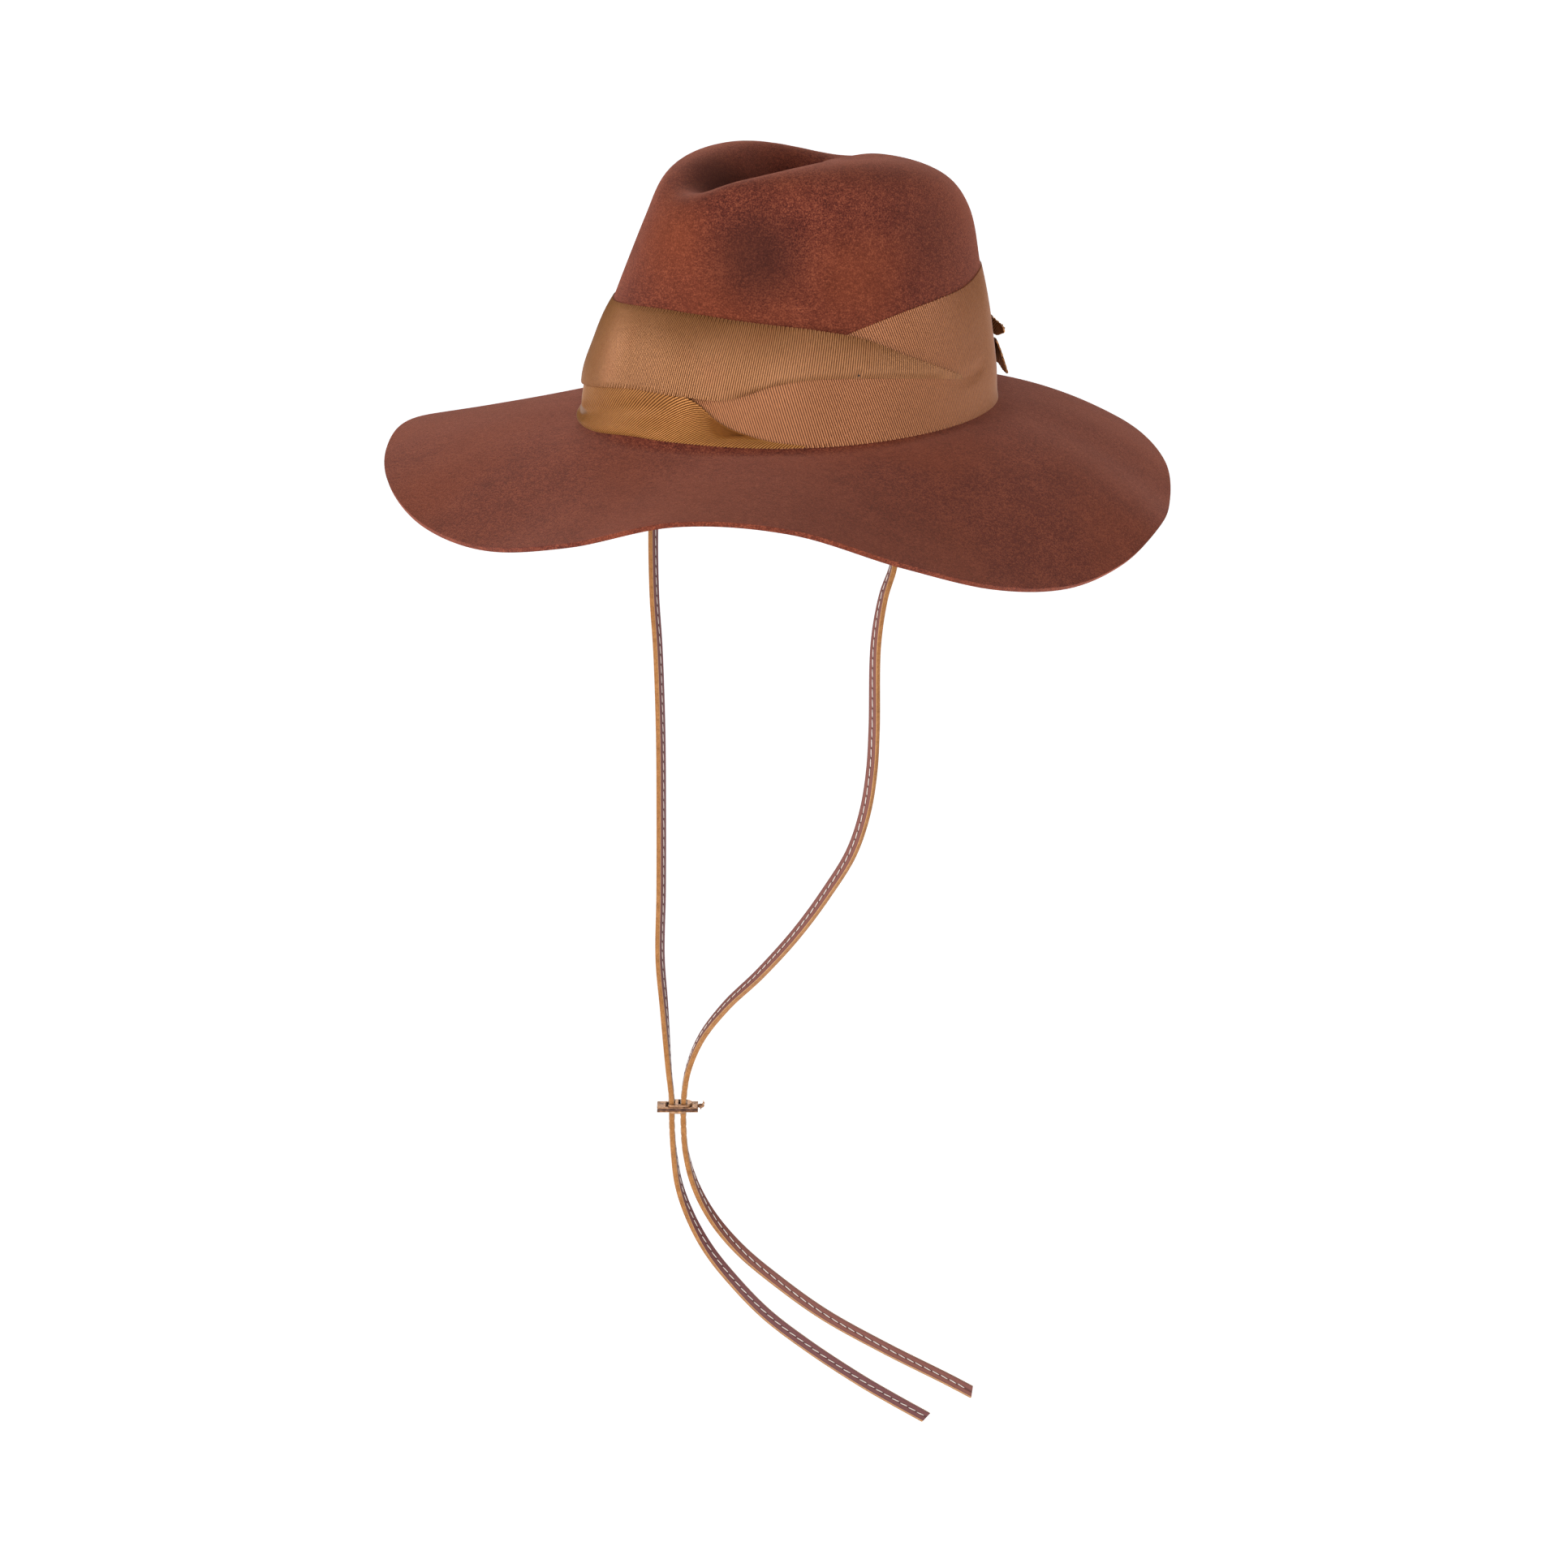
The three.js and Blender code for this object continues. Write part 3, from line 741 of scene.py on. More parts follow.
@dataclass(frozen=True)
class WoolFelt:
    """Matt wool felt with a fine clipped nap, mottled from burgundy to rust, with painted shade in the crease
    and on the side of the crown and painted warm light on its lit front and left.
    """

    name: str = "wool_felt"
    dark: Colour = linear(59, 21, 16)
    middle: Colour = linear(102, 44, 33)
    bright: Colour = linear(149, 79, 55)
    # Rust tone, for the random mottle and for the painted warm light.
    rust: Colour = linear(137, 65, 34)
    painted_shade: Colour = linear(58, 26, 21)
    # Painted shade, mixed into the crease and the side of the crown.
    sheen: Colour = linear(198, 126, 106)
    # Painted warm light: rust-coloured patches where the light falls on the front and the left of the crown.
    painted_light_spots: tuple[Triple, ...] = ((-0.0045, -0.0773, 0.0849), (0.0627, -0.0247, 0.0706))
    # Painted shade: darker patches where shade falls in the crease and on the side of the crown.
    painted_shade_spots: tuple[tuple[Triple, float], ...] = (
        ((0.0374, -0.0585, 0.083), 0.68), ((-0.012, -0.03, 0.106), 0.8),
        ((0.0635, 0.0261, 0.0802), 0.15))

    def material(self) -> bpy.types.Material:
        """Build the material.

        Returns:
            The material.
        """
        nodes = Nodes(self.name)
        cloud = nodes.noise(70, 4, 0.6)
        grain = nodes.noise(1500, 4, 0.75)
        nap = nodes.noise(420, 3, 0.6, (1, 1, 2.4))
        value = cloud * 0.12 + grain * 0.68 + nap * 0.2
        cloth = nodes.ramp(value, (0.41, self.dark), (0.5, self.middle), (0.59, self.bright))
        warm = nodes.noise(16, 2).between(0.4, 0.72) * 0.3
        colour = nodes.mix(cloth, self.rust, warm)
        # Paint warm light on the lit front and left of the crown.
        for spot in self.painted_light_spots:
            colour = nodes.mix(colour, self.rust, nodes.near(spot, 0.002, 0.034) * 0.3)
        # Paint shade into the crease and the side of the crown.
        for spot, amount in self.painted_shade_spots:
            colour = nodes.mix(colour, self.painted_shade, nodes.near(spot, 0.004, 0.032) * amount)
        height = grain * 0.6 + nap * 0.4
        return nodes.surface(
            Base_Color=colour, Roughness=0.93, Specular_IOR_Level=0.18, Sheen_Weight=0.75,
            Sheen_Roughness=0.5, Sheen_Tint=self.sheen,
            Normal=nodes.bump(height, 0.0005, 0.7))


@dataclass(frozen=True)
class CutFelt:
    """The cut edge of the brim, a little redder and barer than the face."""

    name: str = "cut_felt"
    dark: Colour = linear(105, 46, 37)
    bright: Colour = linear(155, 80, 64)

    def material(self) -> bpy.types.Material:
        """Build the material.

        Returns:
            The material.
        """
        nodes = Nodes(self.name)
        grain = nodes.noise(1400, 4, 0.7)
        colour = nodes.ramp(grain, (0.3, self.dark), (0.7, self.bright))
        return nodes.surface(Base_Color=colour, Roughness=0.95, Specular_IOR_Level=0.15,
                             Normal=nodes.bump(grain, 0.0005, 0.5))


@dataclass(frozen=True)
class RibbedRibbon:
    """Ribbed ribbon: the UV map weave holds the rib number and the millimetres across."""

    name: str
    # Rib colours: the crests are painted lighter as lit and the valleys darker as shaded.
    crest_with_painted_light: Colour = linear(168, 113, 68)
    valley_with_painted_shade: Colour = linear(87, 46, 23)
    slub: Colour = linear(150, 88, 52)
    tack: Colour = linear(30, 20, 20)
    tacks: tuple[Triple, ...] = ()

    def material(self) -> bpy.types.Material:
        """Build the material.

        Returns:
            The material.
        """
        nodes = Nodes(self.name)
        rib, across = nodes.uv("weave")
        round_rib = (rib * math.pi).sine().size()
        both = nodes.add("ShaderNodeCombineXYZ", {}, {0: rib, 1: across * 0.5, 2: 0.0})
        thread = nodes.noise(1.0, 2, 0.6, (1, 1, 1), both)
        slubs = nodes.noise(45, 3, 0.55)
        # Painted light and shade across each rib: lighter on the crest, darker in the valley.
        lit = round_rib * 0.95 + thread * 0.5 - 0.25
        colour = nodes.mix(self.valley_with_painted_shade, self.crest_with_painted_light, lit.between(0.0, 1.0))
        colour = nodes.mix(colour, self.slub, slubs.between(0.5, 0.8) * 0.25)
        for place in self.tacks:
            colour = nodes.mix(colour, self.tack, nodes.near(place, 0.0003, 0.0008))
        return nodes.surface(
            Base_Color=colour, Roughness=0.4, Specular_IOR_Level=0.4, Metallic=0.4,
            Normal=nodes.bump(thread, 0.00015, 0.6))


@dataclass(frozen=True)
class StrapFace:
    """Smooth dark leather with a stitch groove painted darker as shade: the UV map strap holds the run and
    the width.
    """

    name: str
    middle: Colour
    border: Colour
    worn: Colour = linear(150, 98, 84)
    # Painted shade for the stitch groove.
    deep: Colour = linear(58, 30, 32)

    def material(self) -> bpy.types.Material:
        """Build the material.

        Returns:
            The material.
        """
        nodes = Nodes(self.name)
        across = nodes.uv("strap")[1]
        grain = nodes.noise(1500, 4, 0.65)
        cloud = nodes.noise(160, 3, 0.5)
        edge = across.size().between(1.75, 2.45)
        groove = 1 - across.size().between(0.25, 0.7)
        lit = nodes.mix(self.middle, self.worn, grain.between(0.45, 0.8) * 0.35)
        lit = nodes.mix(lit, self.border, edge * 0.8)
        # Painted shade: darken the stitch groove.
        lit = nodes.mix(lit, self.deep, groove * 0.55)
        height = grain * 0.25 + cloud * 0.2 - groove * 0.6
        return nodes.surface(Base_Color=lit, Roughness=0.48 + grain * 0.2, Specular_IOR_Level=0.4,
                             Normal=nodes.bump(height, 0.0003, 0.7))


@dataclass(frozen=True)
class RawEdge:
    """The strap's cut edge: tan suede with a painted highlight along its corners."""

    name: str = "raw_edge"
    dark: Colour = linear(122, 76, 38)
    middle: Colour = linear(168, 114, 64)
    bright: Colour = linear(196, 146, 96)
    # Painted highlight along the edge's corners.
    corner: Colour = linear(206, 164, 122)

    def material(self) -> bpy.types.Material:
        """Build the material.

        Returns:
            The material.
        """
        nodes = Nodes(self.name)
        deep = nodes.uv("strap")[1]
        fibre = nodes.noise(1300, 5, 0.75)
        cloud = nodes.noise(260, 3, 0.6)
        colour = nodes.ramp(fibre * 0.65 + cloud * 0.35, (0.3, self.dark), (0.52, self.middle),
                            (0.75, self.bright))
        # Painted highlight: paler towards the corners of the edge.
        colour = nodes.mix(colour, self.corner, deep.size().between(0.85, 1.2) * 0.55)
        return nodes.surface(Base_Color=colour, Roughness=0.92, Specular_IOR_Level=0.15,
                             Sheen_Weight=0.2, Normal=nodes.bump(fibre, 0.0005, 0.8))


@dataclass(frozen=True)
class Thread:
    """Off-white waxed thread."""

    name: str = "stitch_thread"
    dark: Colour = linear(196, 182, 172)
    bright: Colour = linear(240, 232, 224)

    def material(self) -> bpy.types.Material:
        """Build the material.

        Returns:
            The material.
        """
        nodes = Nodes(self.name)
        twist = nodes.noise(2600, 3, 0.6)
        colour = nodes.ramp(twist, (0.3, self.dark), (0.7, self.bright))
        return nodes.surface(Base_Color=colour, Roughness=0.6, Specular_IOR_Level=0.3,
                             Normal=nodes.bump(twist, 0.0002, 0.5))


@dataclass(frozen=True)
class AgedBrass:
    """Worn brass, dark in its recesses."""

    name: str = "aged_brass"
    dull: Colour = linear(98, 68, 58)
    bright: Colour = linear(226, 176, 130)

    def material(self) -> bpy.types.Material:
        """Build the material.

        Returns:
            The material.
        """
        nodes = Nodes(self.name)
        wear = nodes.noise(420, 5, 0.7)
        scratch = nodes.noise(700, 3, 0.6, (1, 1, 8))
        colour = nodes.ramp(wear * 0.6 + scratch * 0.4, (0.36, self.dull), (0.66, self.bright))
        return nodes.surface(Base_Color=colour, Metallic=0.85, Roughness=0.34 + wear * 0.25,
                             Normal=nodes.bump(scratch, 0.0002, 0.35))


@dataclass(frozen=True)
class DarkMetal:
    """The blackened inside of the slide's channel and holes."""

    name: str = "dark_metal"
    dark: Colour = linear(66, 46, 42)
    bright: Colour = linear(132, 96, 78)

    def material(self) -> bpy.types.Material:
        """Build the material.

        Returns:
            The material.
        """
        nodes = Nodes(self.name)
        wear = nodes.noise(500, 4, 0.7)
        colour = nodes.ramp(wear, (0.4, self.dark), (0.75, self.bright))
        return nodes.surface(Base_Color=colour, Metallic=0.6, Roughness=0.5 + wear * 0.2)


class Finish(Enum):
    """Each finish of the hat, by the piece that wears it."""

    FELT = WoolFelt()
    FELT_EDGE = CutFelt()
    RIBBON_UPPER = RibbedRibbon("ribbon_upper_weave",
                                tacks=((0.02645, -0.09665, 0.0242), (0.07595, -0.03375, 0.0313)))
    RIBBON_LOWER = RibbedRibbon("ribbon_lower_weave", linear(185, 123, 63), linear(94, 51, 18))
    RIBBON_WIDE = RibbedRibbon("ribbon_wide_weave", linear(178, 115, 72), linear(90, 46, 29))
    # The bow's colours are painted lighter than the band's, as painted light on its shaded knot and tails.
    RIBBON_BOW_PAINTED_LIGHT = RibbedRibbon("bow_weave_painted_light", linear(214, 158, 106), linear(132, 84, 48))
    STRAP_LEFT = StrapFace("strap_face_left", linear(128, 76, 66), linear(96, 58, 62))
    STRAP_RIGHT = StrapFace("strap_face_right", linear(112, 66, 66), linear(88, 56, 68))
    STRAP_EDGE = RawEdge()
    THREAD = Thread()
    BRASS = AgedBrass()
    DARK_METAL = DarkMetal()

    def material(self) -> bpy.types.Material:
        """The finish's material, built once."""
        return bpy.data.materials.get(self.value.name) or self.value.material()


def dress(piece: bpy.types.Object, *finishes: Finish) -> None:
    """Give a piece its materials.

    Args:
        piece: The mesh object.
        *finishes: Its finishes, in slot order.
    """
    piece.data.materials.clear()
    for finish in finishes:
        piece.data.materials.append(finish.material())


# Pieces

@dataclass(frozen=True)
class FeltBody:
    """Crown and brim, blocked from one piece of felt."""

    around: int = 256
    crown_rows: int = 78
    corner_rows: int = 8
    brim_rows: int = 46

    def shape(self, u: Array, v: Array) -> Array:
        """Outer face of the felt.

        Args:
            u: Shares of the way round.
            v: Shares of the way from the brim's edge to the middle of the top, one for each row.

        Returns:
            Points in millimetres.
        """
        angle = u * 360 - 180
        parts = [BLOCK.brim_point(angle, BLOCK.break_out + (1 - BLOCK.break_out) * (1 - t))
                 for t in np.arange(self.brim_rows) / self.brim_rows]
        parts += [BLOCK.corner_point(angle, 1 - t)
                  for t in np.arange(self.corner_rows) / self.corner_rows]
        parts += [BLOCK.crown_point(angle, BLOCK.break_rise + (1 - BLOCK.break_rise) * t)
                  for t in np.arange(self.crown_rows + 1) / self.crown_rows]
        sheet = np.concatenate(parts, axis=0)
        sheet[-1] = sheet[-1, :1]
        return sheet

    def build(self) -> bpy.types.Object:
        """Model and dress the felt.

        Returns:
            The felt body.
        """
        rows = self.brim_rows + self.corner_rows + self.crown_rows
        piece = Workbench.sheet("felt_shell", self.around, rows, self.shape)
        Workbench.weld(piece)
        Workbench.modify(piece, "SOLIDIFY", thickness=BLOCK.felt_wall * MM, offset=-1,
                         use_even_offset=True, material_offset_rim=1)
        dress(piece, Finish.FELT, Finish.FELT_EDGE)
        Workbench.smooth(piece, 50)
        Workbench.fit(piece, "felt", "felt_body")
        return piece


@dataclass(frozen=True)
class RibbonRow:
    """Edges of a ribbon turn in one direction, and how far each stands off the felt."""

    angle: float
    bottom: float
    top: float
    lift_bottom: float
    lift_top: float


@dataclass(frozen=True)
class Lean:
    """How far the ribs lean in one direction: sideways run for each millimetre up."""

    angle: float
    slope: float


@dataclass(frozen=True)
class Fold:
    """A soft dent or swell pressed into the ribbon."""

    angle: float
    height: float
    reach_angle: float
    reach_height: float
    depth: float

    def push(self, angle: Array, height: Array) -> Array:
        """How far it moves the ribbon outwards."""
        return (self.depth * bell(angle - self.angle, self.reach_angle)
                * bell(height - self.height, self.reach_height))


@dataclass(frozen=True)
class Furrow:
    """A long dent or swell that follows a line of angles and heights."""

    angles: tuple[float, ...]
    heights: tuple[float, ...]
    reach: float
    depth: float
    end_angle: float = 8

    def push(self, angle: Array, height: Array) -> Array:
        """How far it moves the ribbon outwards.

        Args:
            angle: Turn about the hat in degrees.
            height: Height above the head opening.

        Returns:
            Distances in millimetres.
        """
        ends = (np.clip((angle - self.angles[0]) / self.end_angle, 0, 1)
                * np.clip((self.angles[-1] - angle) / self.end_angle, 0, 1))
        ends = ends * ends * (3 - 2 * ends)
        line = np.interp(angle, self.angles, self.heights)
        return self.depth * ends * bell(height - line, self.reach)


class Fall(Enum):
    """How the stand-off of a ribbon falls from its lower edge to its upper one."""

    LATE = "over another turn"
    EARLY = "flared over the brim"


@dataclass(frozen=True)
class RibbonTurn:
    """One turn of the ribbed ribbon round the crown."""

    name: str
    node: str
    finish: Finish
    rows: tuple[RibbonRow, ...]
    lean: tuple[Lean, ...]
    fall: Fall = Fall.EARLY
    across: int = 14
    rib: float = 1.05
    rib_depth: float = 0.3
    picot: float = 0.5
    picot_ribs: float = 2
    wall: float = 1.0
    thickness: float = 0.85
    hug: float = 0.95
    hug_lift: float = 1.1
    hug_fade: float = 0.4
    hug_from: float = 0.6
    picot_bottom: tuple[float, float] = (-400, 400)
    picot_top: tuple[float, float] = (-400, 400)
    folds: tuple[Fold | Furrow, ...] = ()
    columns_per_rib: int = 4
    inner_rows: int = 5

    def span(self) -> tuple[float, float]:
        """First and last angle."""
        return self.rows[0].angle, self.rows[-1].angle

    def edges(self, angle: Array) -> tuple[Array, Array, Array, Array]:
        """Heights of the two edges and their stand-offs."""
        return tuple(column(self.rows, "angle", key, angle)
                     for key in ("bottom", "top", "lift_bottom", "lift_top"))

    def ribs(self) -> int:
        """Count the ribs along the turn.

        Returns:
            An even number of ribs.
        """
        angle = np.linspace(*self.span(), 400)
        low, high, _, _ = self.edges(angle)
        path = BLOCK.wall_point(angle, (low + high) / 2, np.full(angle.size, 2.0))
        return 2 * round(float(np.linalg.norm(np.diff(path, axis=0), axis=1).sum()) / self.rib / 2)

    def section(self) -> tuple[Array, Array]:
        """The closed section's rows: the share of the way up, and 1 on the outer face or 0 on the inner."""
        up = [*np.linspace(0, 1, self.across + 1), 1.0, 2 / 3, 1 / 3, 0.0, 0.0]
        return np.array(up), np.array([1.0] * (self.across + 1) + [0.0] * (self.inner_rows - 1) + [1.0])

    def slanted(self, u: Array, v: Array) -> Array:
        """The angle that a leaning rib has reached.

        Args:
            u: Shares of the way along the turn.
            v: Shares of the way up the rib.

        Returns:
            Angles in degrees.
        """
        first, last = self.span()
        angle = first + (last - first) * u
        low, high, _, _ = self.edges(angle)
        slope = column(self.lean, "angle", "slope", angle)
        across, along = BLOCK.band_radii
        per_degree = math.pi / 180 * np.hypot(
            across * np.cos(np.radians(angle)), along * np.sin(np.radians(angle)))
        return angle + slope * (high - low) * v / per_degree

    def surface(self, u: Array, row: Array) -> Array:
        """Both faces of the ribbon.

        Args:
            u: Shares of the way along the turn.
            row: Shares of the way round its section, one for each row.

        Returns:
            Points in millimetres.
        """
        up, outer = self.section()
        row = np.rint(row * (len(up) - 1)).astype(int)
        u, v = np.broadcast_arrays(u, up[row])
        outer = np.broadcast_to(outer[row], v.shape)
        angle = self.slanted(u, v)
        low, high, lift_low, lift_high = self.edges(angle)
        share = 1 - v**3 if self.fall is Fall.LATE else (1 - v) ** 2
        count = self.ribs()
        scallop = self.picot * (np.abs(np.sin(u * count / self.picot_ribs * math.pi)) - 0.6)
        edge = ((v > 0.999) * self.within(angle, self.picot_top)
                - (v < 0.001) * self.within(angle, self.picot_bottom))
        height = low + (high - low) * v + scallop * edge
        distance = lift_high + (lift_low - lift_high) * share + self.wall
        for fold in self.folds:
            distance = distance + fold.push(angle, height)
        close = (np.clip((self.hug_lift - lift_high) / self.hug_fade, 0, 1)
                 * np.clip((v - self.hug_from) / (1 - self.hug_from), 0, 1) ** 2)
        distance = distance - self.hug * close
        ribbed = self.rib_depth * (np.abs(np.sin(u * count * math.pi)) - 1)
        return BLOCK.wall_point(angle, height, distance + np.where(outer > 0, ribbed, -self.thickness))

    @staticmethod
    def within(angle: Array, limits: tuple[float, float]) -> Array:
        """1 where the angle is within the limits."""
        return ((angle >= limits[0]) & (angle <= limits[1])).astype(float)

    def build(self) -> bpy.types.Object:
        """Model and dress the turn.

        Returns:
            The ribbon piece.
        """
        rows = self.across + self.inner_rows
        piece = Workbench.sheet(self.name, self.ribs() * self.columns_per_rib, rows, self.surface)
        self.weave(piece, rows)
        Workbench.weld(piece)
        Workbench.cap(piece)
        dress(piece, self.finish)
        Workbench.smooth(piece, 62)
        Workbench.fit(piece, "ribbon", self.node)
        return piece

    def weave(self, piece: bpy.types.Object, rows: int) -> None:
        """Store the rib number and the millimetres across in the UV map weave.

        Args:
            piece: The ribbon piece, before its doubles are merged.
            rows: Divisions round its section.
        """
        u, row = Workbench.sheet_ways(piece).T
        first, last = self.span()
        low, high, _, _ = self.edges(first + (last - first) * u)
        up, _ = self.section()
        Workbench.uv_values(piece, "weave", np.stack(
            [u * self.ribs(), (high - low) * up[np.rint(row * rows).astype(int)]], axis=1))


UPPER_ROWS = (
    RibbonRow(-178, 12, 50, 2.2, 0.6), RibbonRow(-100, 14, 52, 2.2, 0.6), RibbonRow(-37, 16, 54, 2.2, 0.6),
    RibbonRow(0, 23.5, 58, 2.4, 0.6), RibbonRow(20, 23, 57.5, 3.9, 0.6), RibbonRow(33, 22.5, 55.5, 3.6, 1),
    RibbonRow(46, 28.4, 53, 3.3, 1.7), RibbonRow(57, 30.2, 50.5, 3.3, 2.6), RibbonRow(71, 29, 45.5, 3.5, 2.6),
    RibbonRow(85, 26.2, 35.5, 3.1, 2.8), RibbonRow(105, 20.6, 22.2, 2.9, 2.9),
)
LOWER_ROWS = (
    RibbonRow(-178, 1.2, 20, 2.6, 0.5), RibbonRow(-100, 1.2, 21, 2.6, 0.5), RibbonRow(-37, 1.2, 23, 2.8, 0.5),
    RibbonRow(-15, 1.2, 27, 3, 0.5), RibbonRow(3, 3.6, 27.5, 2.2, 0.7), RibbonRow(14, 3.5, 25.5, 2.7, 1.6),
    RibbonRow(24, 3.2, 20.6, 3, 2.2), RibbonRow(31, 2.8, 12.9, 3.1, 2.5), RibbonRow(37, 2.4, 8.6, 3.4, 2.8),
    RibbonRow(45, 2, 4.9, 3.5, 3), RibbonRow(54, 1.7, 2.4, 3.5, 3.4),
)
WIDE_ROWS = (
    RibbonRow(18, 14, 20, 0.5, 0.5), RibbonRow(24, 9, 26, 0.6, 0.6), RibbonRow(31, 5, 31, 0.8, 1),
    RibbonRow(37, 2.8, 34, 1.1, 1.2), RibbonRow(45, 1.8, 37, 1.6, 1.4), RibbonRow(57, 1.4, 41, 2.1, 1.4),
    RibbonRow(66, 1.2, 47.7, 2.4, 0.7), RibbonRow(76, 1.2, 51.9, 2.8, 0.6),
    RibbonRow(87, 1.2, 55.1, 2.8, 0.6), RibbonRow(100, 1.2, 57.1, 2.8, 0.6),
    RibbonRow(113, 1.2, 58.3, 2.8, 0.6), RibbonRow(134, 1.2, 61.3, 2.8, 0.6),
    RibbonRow(158, 1.2, 59.5, 2.8, 0.6), RibbonRow(181, 1.2, 50.4, 2.8, 0.6),
)
TAIL_UPPER_ROWS = (
    RibbonRow(146, 28.2, 30.3, 7.2, 7), RibbonRow(150, 26.3, 31.4, 6.6, 6), RibbonRow(154, 24.6, 32.6, 6, 5),
    RibbonRow(162, 25.5, 35.5, 4.5, 4), RibbonRow(170.7, 26.5, 36, 3.2, 2.8),
)
TAIL_LOWER_ROWS = (
    RibbonRow(146, 9, 24.6, 7.6, 3.2), RibbonRow(150, 9.8, 24.4, 6.6, 3.7), RibbonRow(154, 11.8, 24, 6, 3.8),
    RibbonRow(162, 11.5, 24, 4.8, 4), RibbonRow(170.7, 12, 24.5, 3.6, 3.2),
)


@dataclass(frozen=True)
class Band:
    """The whole ribbon band: three turns, the knot at the back and its two cut tails."""

    upper: RibbonTurn = RibbonTurn(
        "ribbon_turn_upper", "ribbon_upper", Finish.RIBBON_UPPER, UPPER_ROWS,
        (Lean(-180, 0.0), Lean(-60, 0.08), Lean(-20, 0.12), Lean(60, 0.13), Lean(90, 0.1), Lean(110, 0.0)),
        Fall.LATE, picot_bottom=(-400, 31), folds=(
            Fold(18.4, 24.4, 0.9, 1.3, -0.6), Fold(69.0, 31.3, 0.9, 1.2, -0.8),
            Fold(72.2, 33.2, 1.6, 2.4, 0.2), Fold(-45, 20, 30, 12, 2.0),
            Furrow((28, 36, 48, 60, 80, 100), (22.5, 23.5, 28.6, 30, 27.5, 22), 1.6, -0.9)))
    lower: RibbonTurn = RibbonTurn(
        "ribbon_turn_lower", "ribbon_lower", Finish.RIBBON_LOWER, LOWER_ROWS,
        (Lean(-180, 0.1), Lean(-60, 0.5), Lean(-25, 0.66), Lean(-8, 0.8), Lean(6, 1.1), Lean(20, 1.15),
         Lean(54, 1.1)), rib=1.5, picot=0.42, picot_ribs=1, folds=(
            Fold(-45, 20, 30, 12, 2.0),
            Furrow((-52, -38, -30, -18, -5, 8, 18), (3.4, 4, 5, 9.5, 14, 17, 19), 3.2, -0.9),
            Furrow((-60, -30, 0, 30, 45), (1.6, 1.6, 4, 3.2, 2.4), 2.2, 0.7)))
    wide: RibbonTurn = RibbonTurn(
        "ribbon_turn_wide", "ribbon_wide", Finish.RIBBON_WIDE, WIDE_ROWS,
        (Lean(18, -0.33), Lean(45, -0.33), Lean(60, -0.3), Lean(75, -0.35), Lean(85, -0.35), Lean(100, -0.3),
         Lean(130, -0.1), Lean(181, 0.0)), rib=1.086, across=22, folds=(
            Fold(130, 3, 40, 9, -1.3),
            Furrow((97, 104, 109, 113, 123), (21.5, 20.8, 20.3, 20.6, 23), 1.9, -0.9)))
    knot_ribs: int = 42
    knot_angle: float = 181
    knot_half_angle: float = 10
    knot_bottom: float = 5
    knot_height: float = 45
    tail_ribs: tuple[float, float] = (18, 6)
    tooth: float = 2.1

    def build(self) -> list[bpy.types.Object]:
        """Model every piece of the band.

        Returns:
            The pieces, from the inner turn outwards.
        """
        return [self.wide.build(), self.lower.build(), self.upper.build(), *self.bow()]

    def bow(self) -> list[bpy.types.Object]:
        """Model the knot and both tails.

        Returns:
            The knot, the upper tail and the lower one.
        """
        knot = Workbench.sheet("bow_wrap", 80, 40, self.knot_shape)
        self.finish_bow(knot, "bow_knot", (0, self.knot_ribs), 3.0)
        pieces = [knot]
        for name, node, rows, divisions, pink in (
                ("bow_end_upper", "bow_tail_upper", TAIL_UPPER_ROWS, 24, 0.4),
                ("bow_end_lower", "bow_tail_lower", TAIL_LOWER_ROWS, 40, 0.9)):
            tail = Workbench.sheet(name, 100, divisions, self.tail_shape(rows, pink))
            self.finish_bow(tail, node, self.tail_ribs, 0.7)
            pieces.append(tail)
        return pieces

    def knot_shape(self, u: Array, v: Array) -> Array:
        """Outer face of the knot, a short upright wrap with pleats.

        Args:
            u: Shares of the way across.
            v: Shares of the way up.

        Returns:
            Points in millimetres.
        """
        across = 2 * u - 1
        angle = self.knot_angle + self.knot_half_angle * across
        height = self.knot_bottom + self.knot_height * v
        bulge = (2.2 * np.sqrt(np.clip(1 - across**2 * 0.97, 0.02, 1))
                 * np.sin(math.pi * (0.12 + 0.76 * v)))
        pleats = (0.28 * np.sin(across * 9.0 + 0.6 * np.sin(v * 5))
                  - 0.2 * np.abs(np.cos(v * self.knot_ribs * math.pi)))
        lift = 4.1 - 1.5 * v
        angle, height = np.broadcast_arrays(angle, height)
        return BLOCK.wall_point(angle, height, lift + 1.0 + bulge + pleats * (1 - across**2))

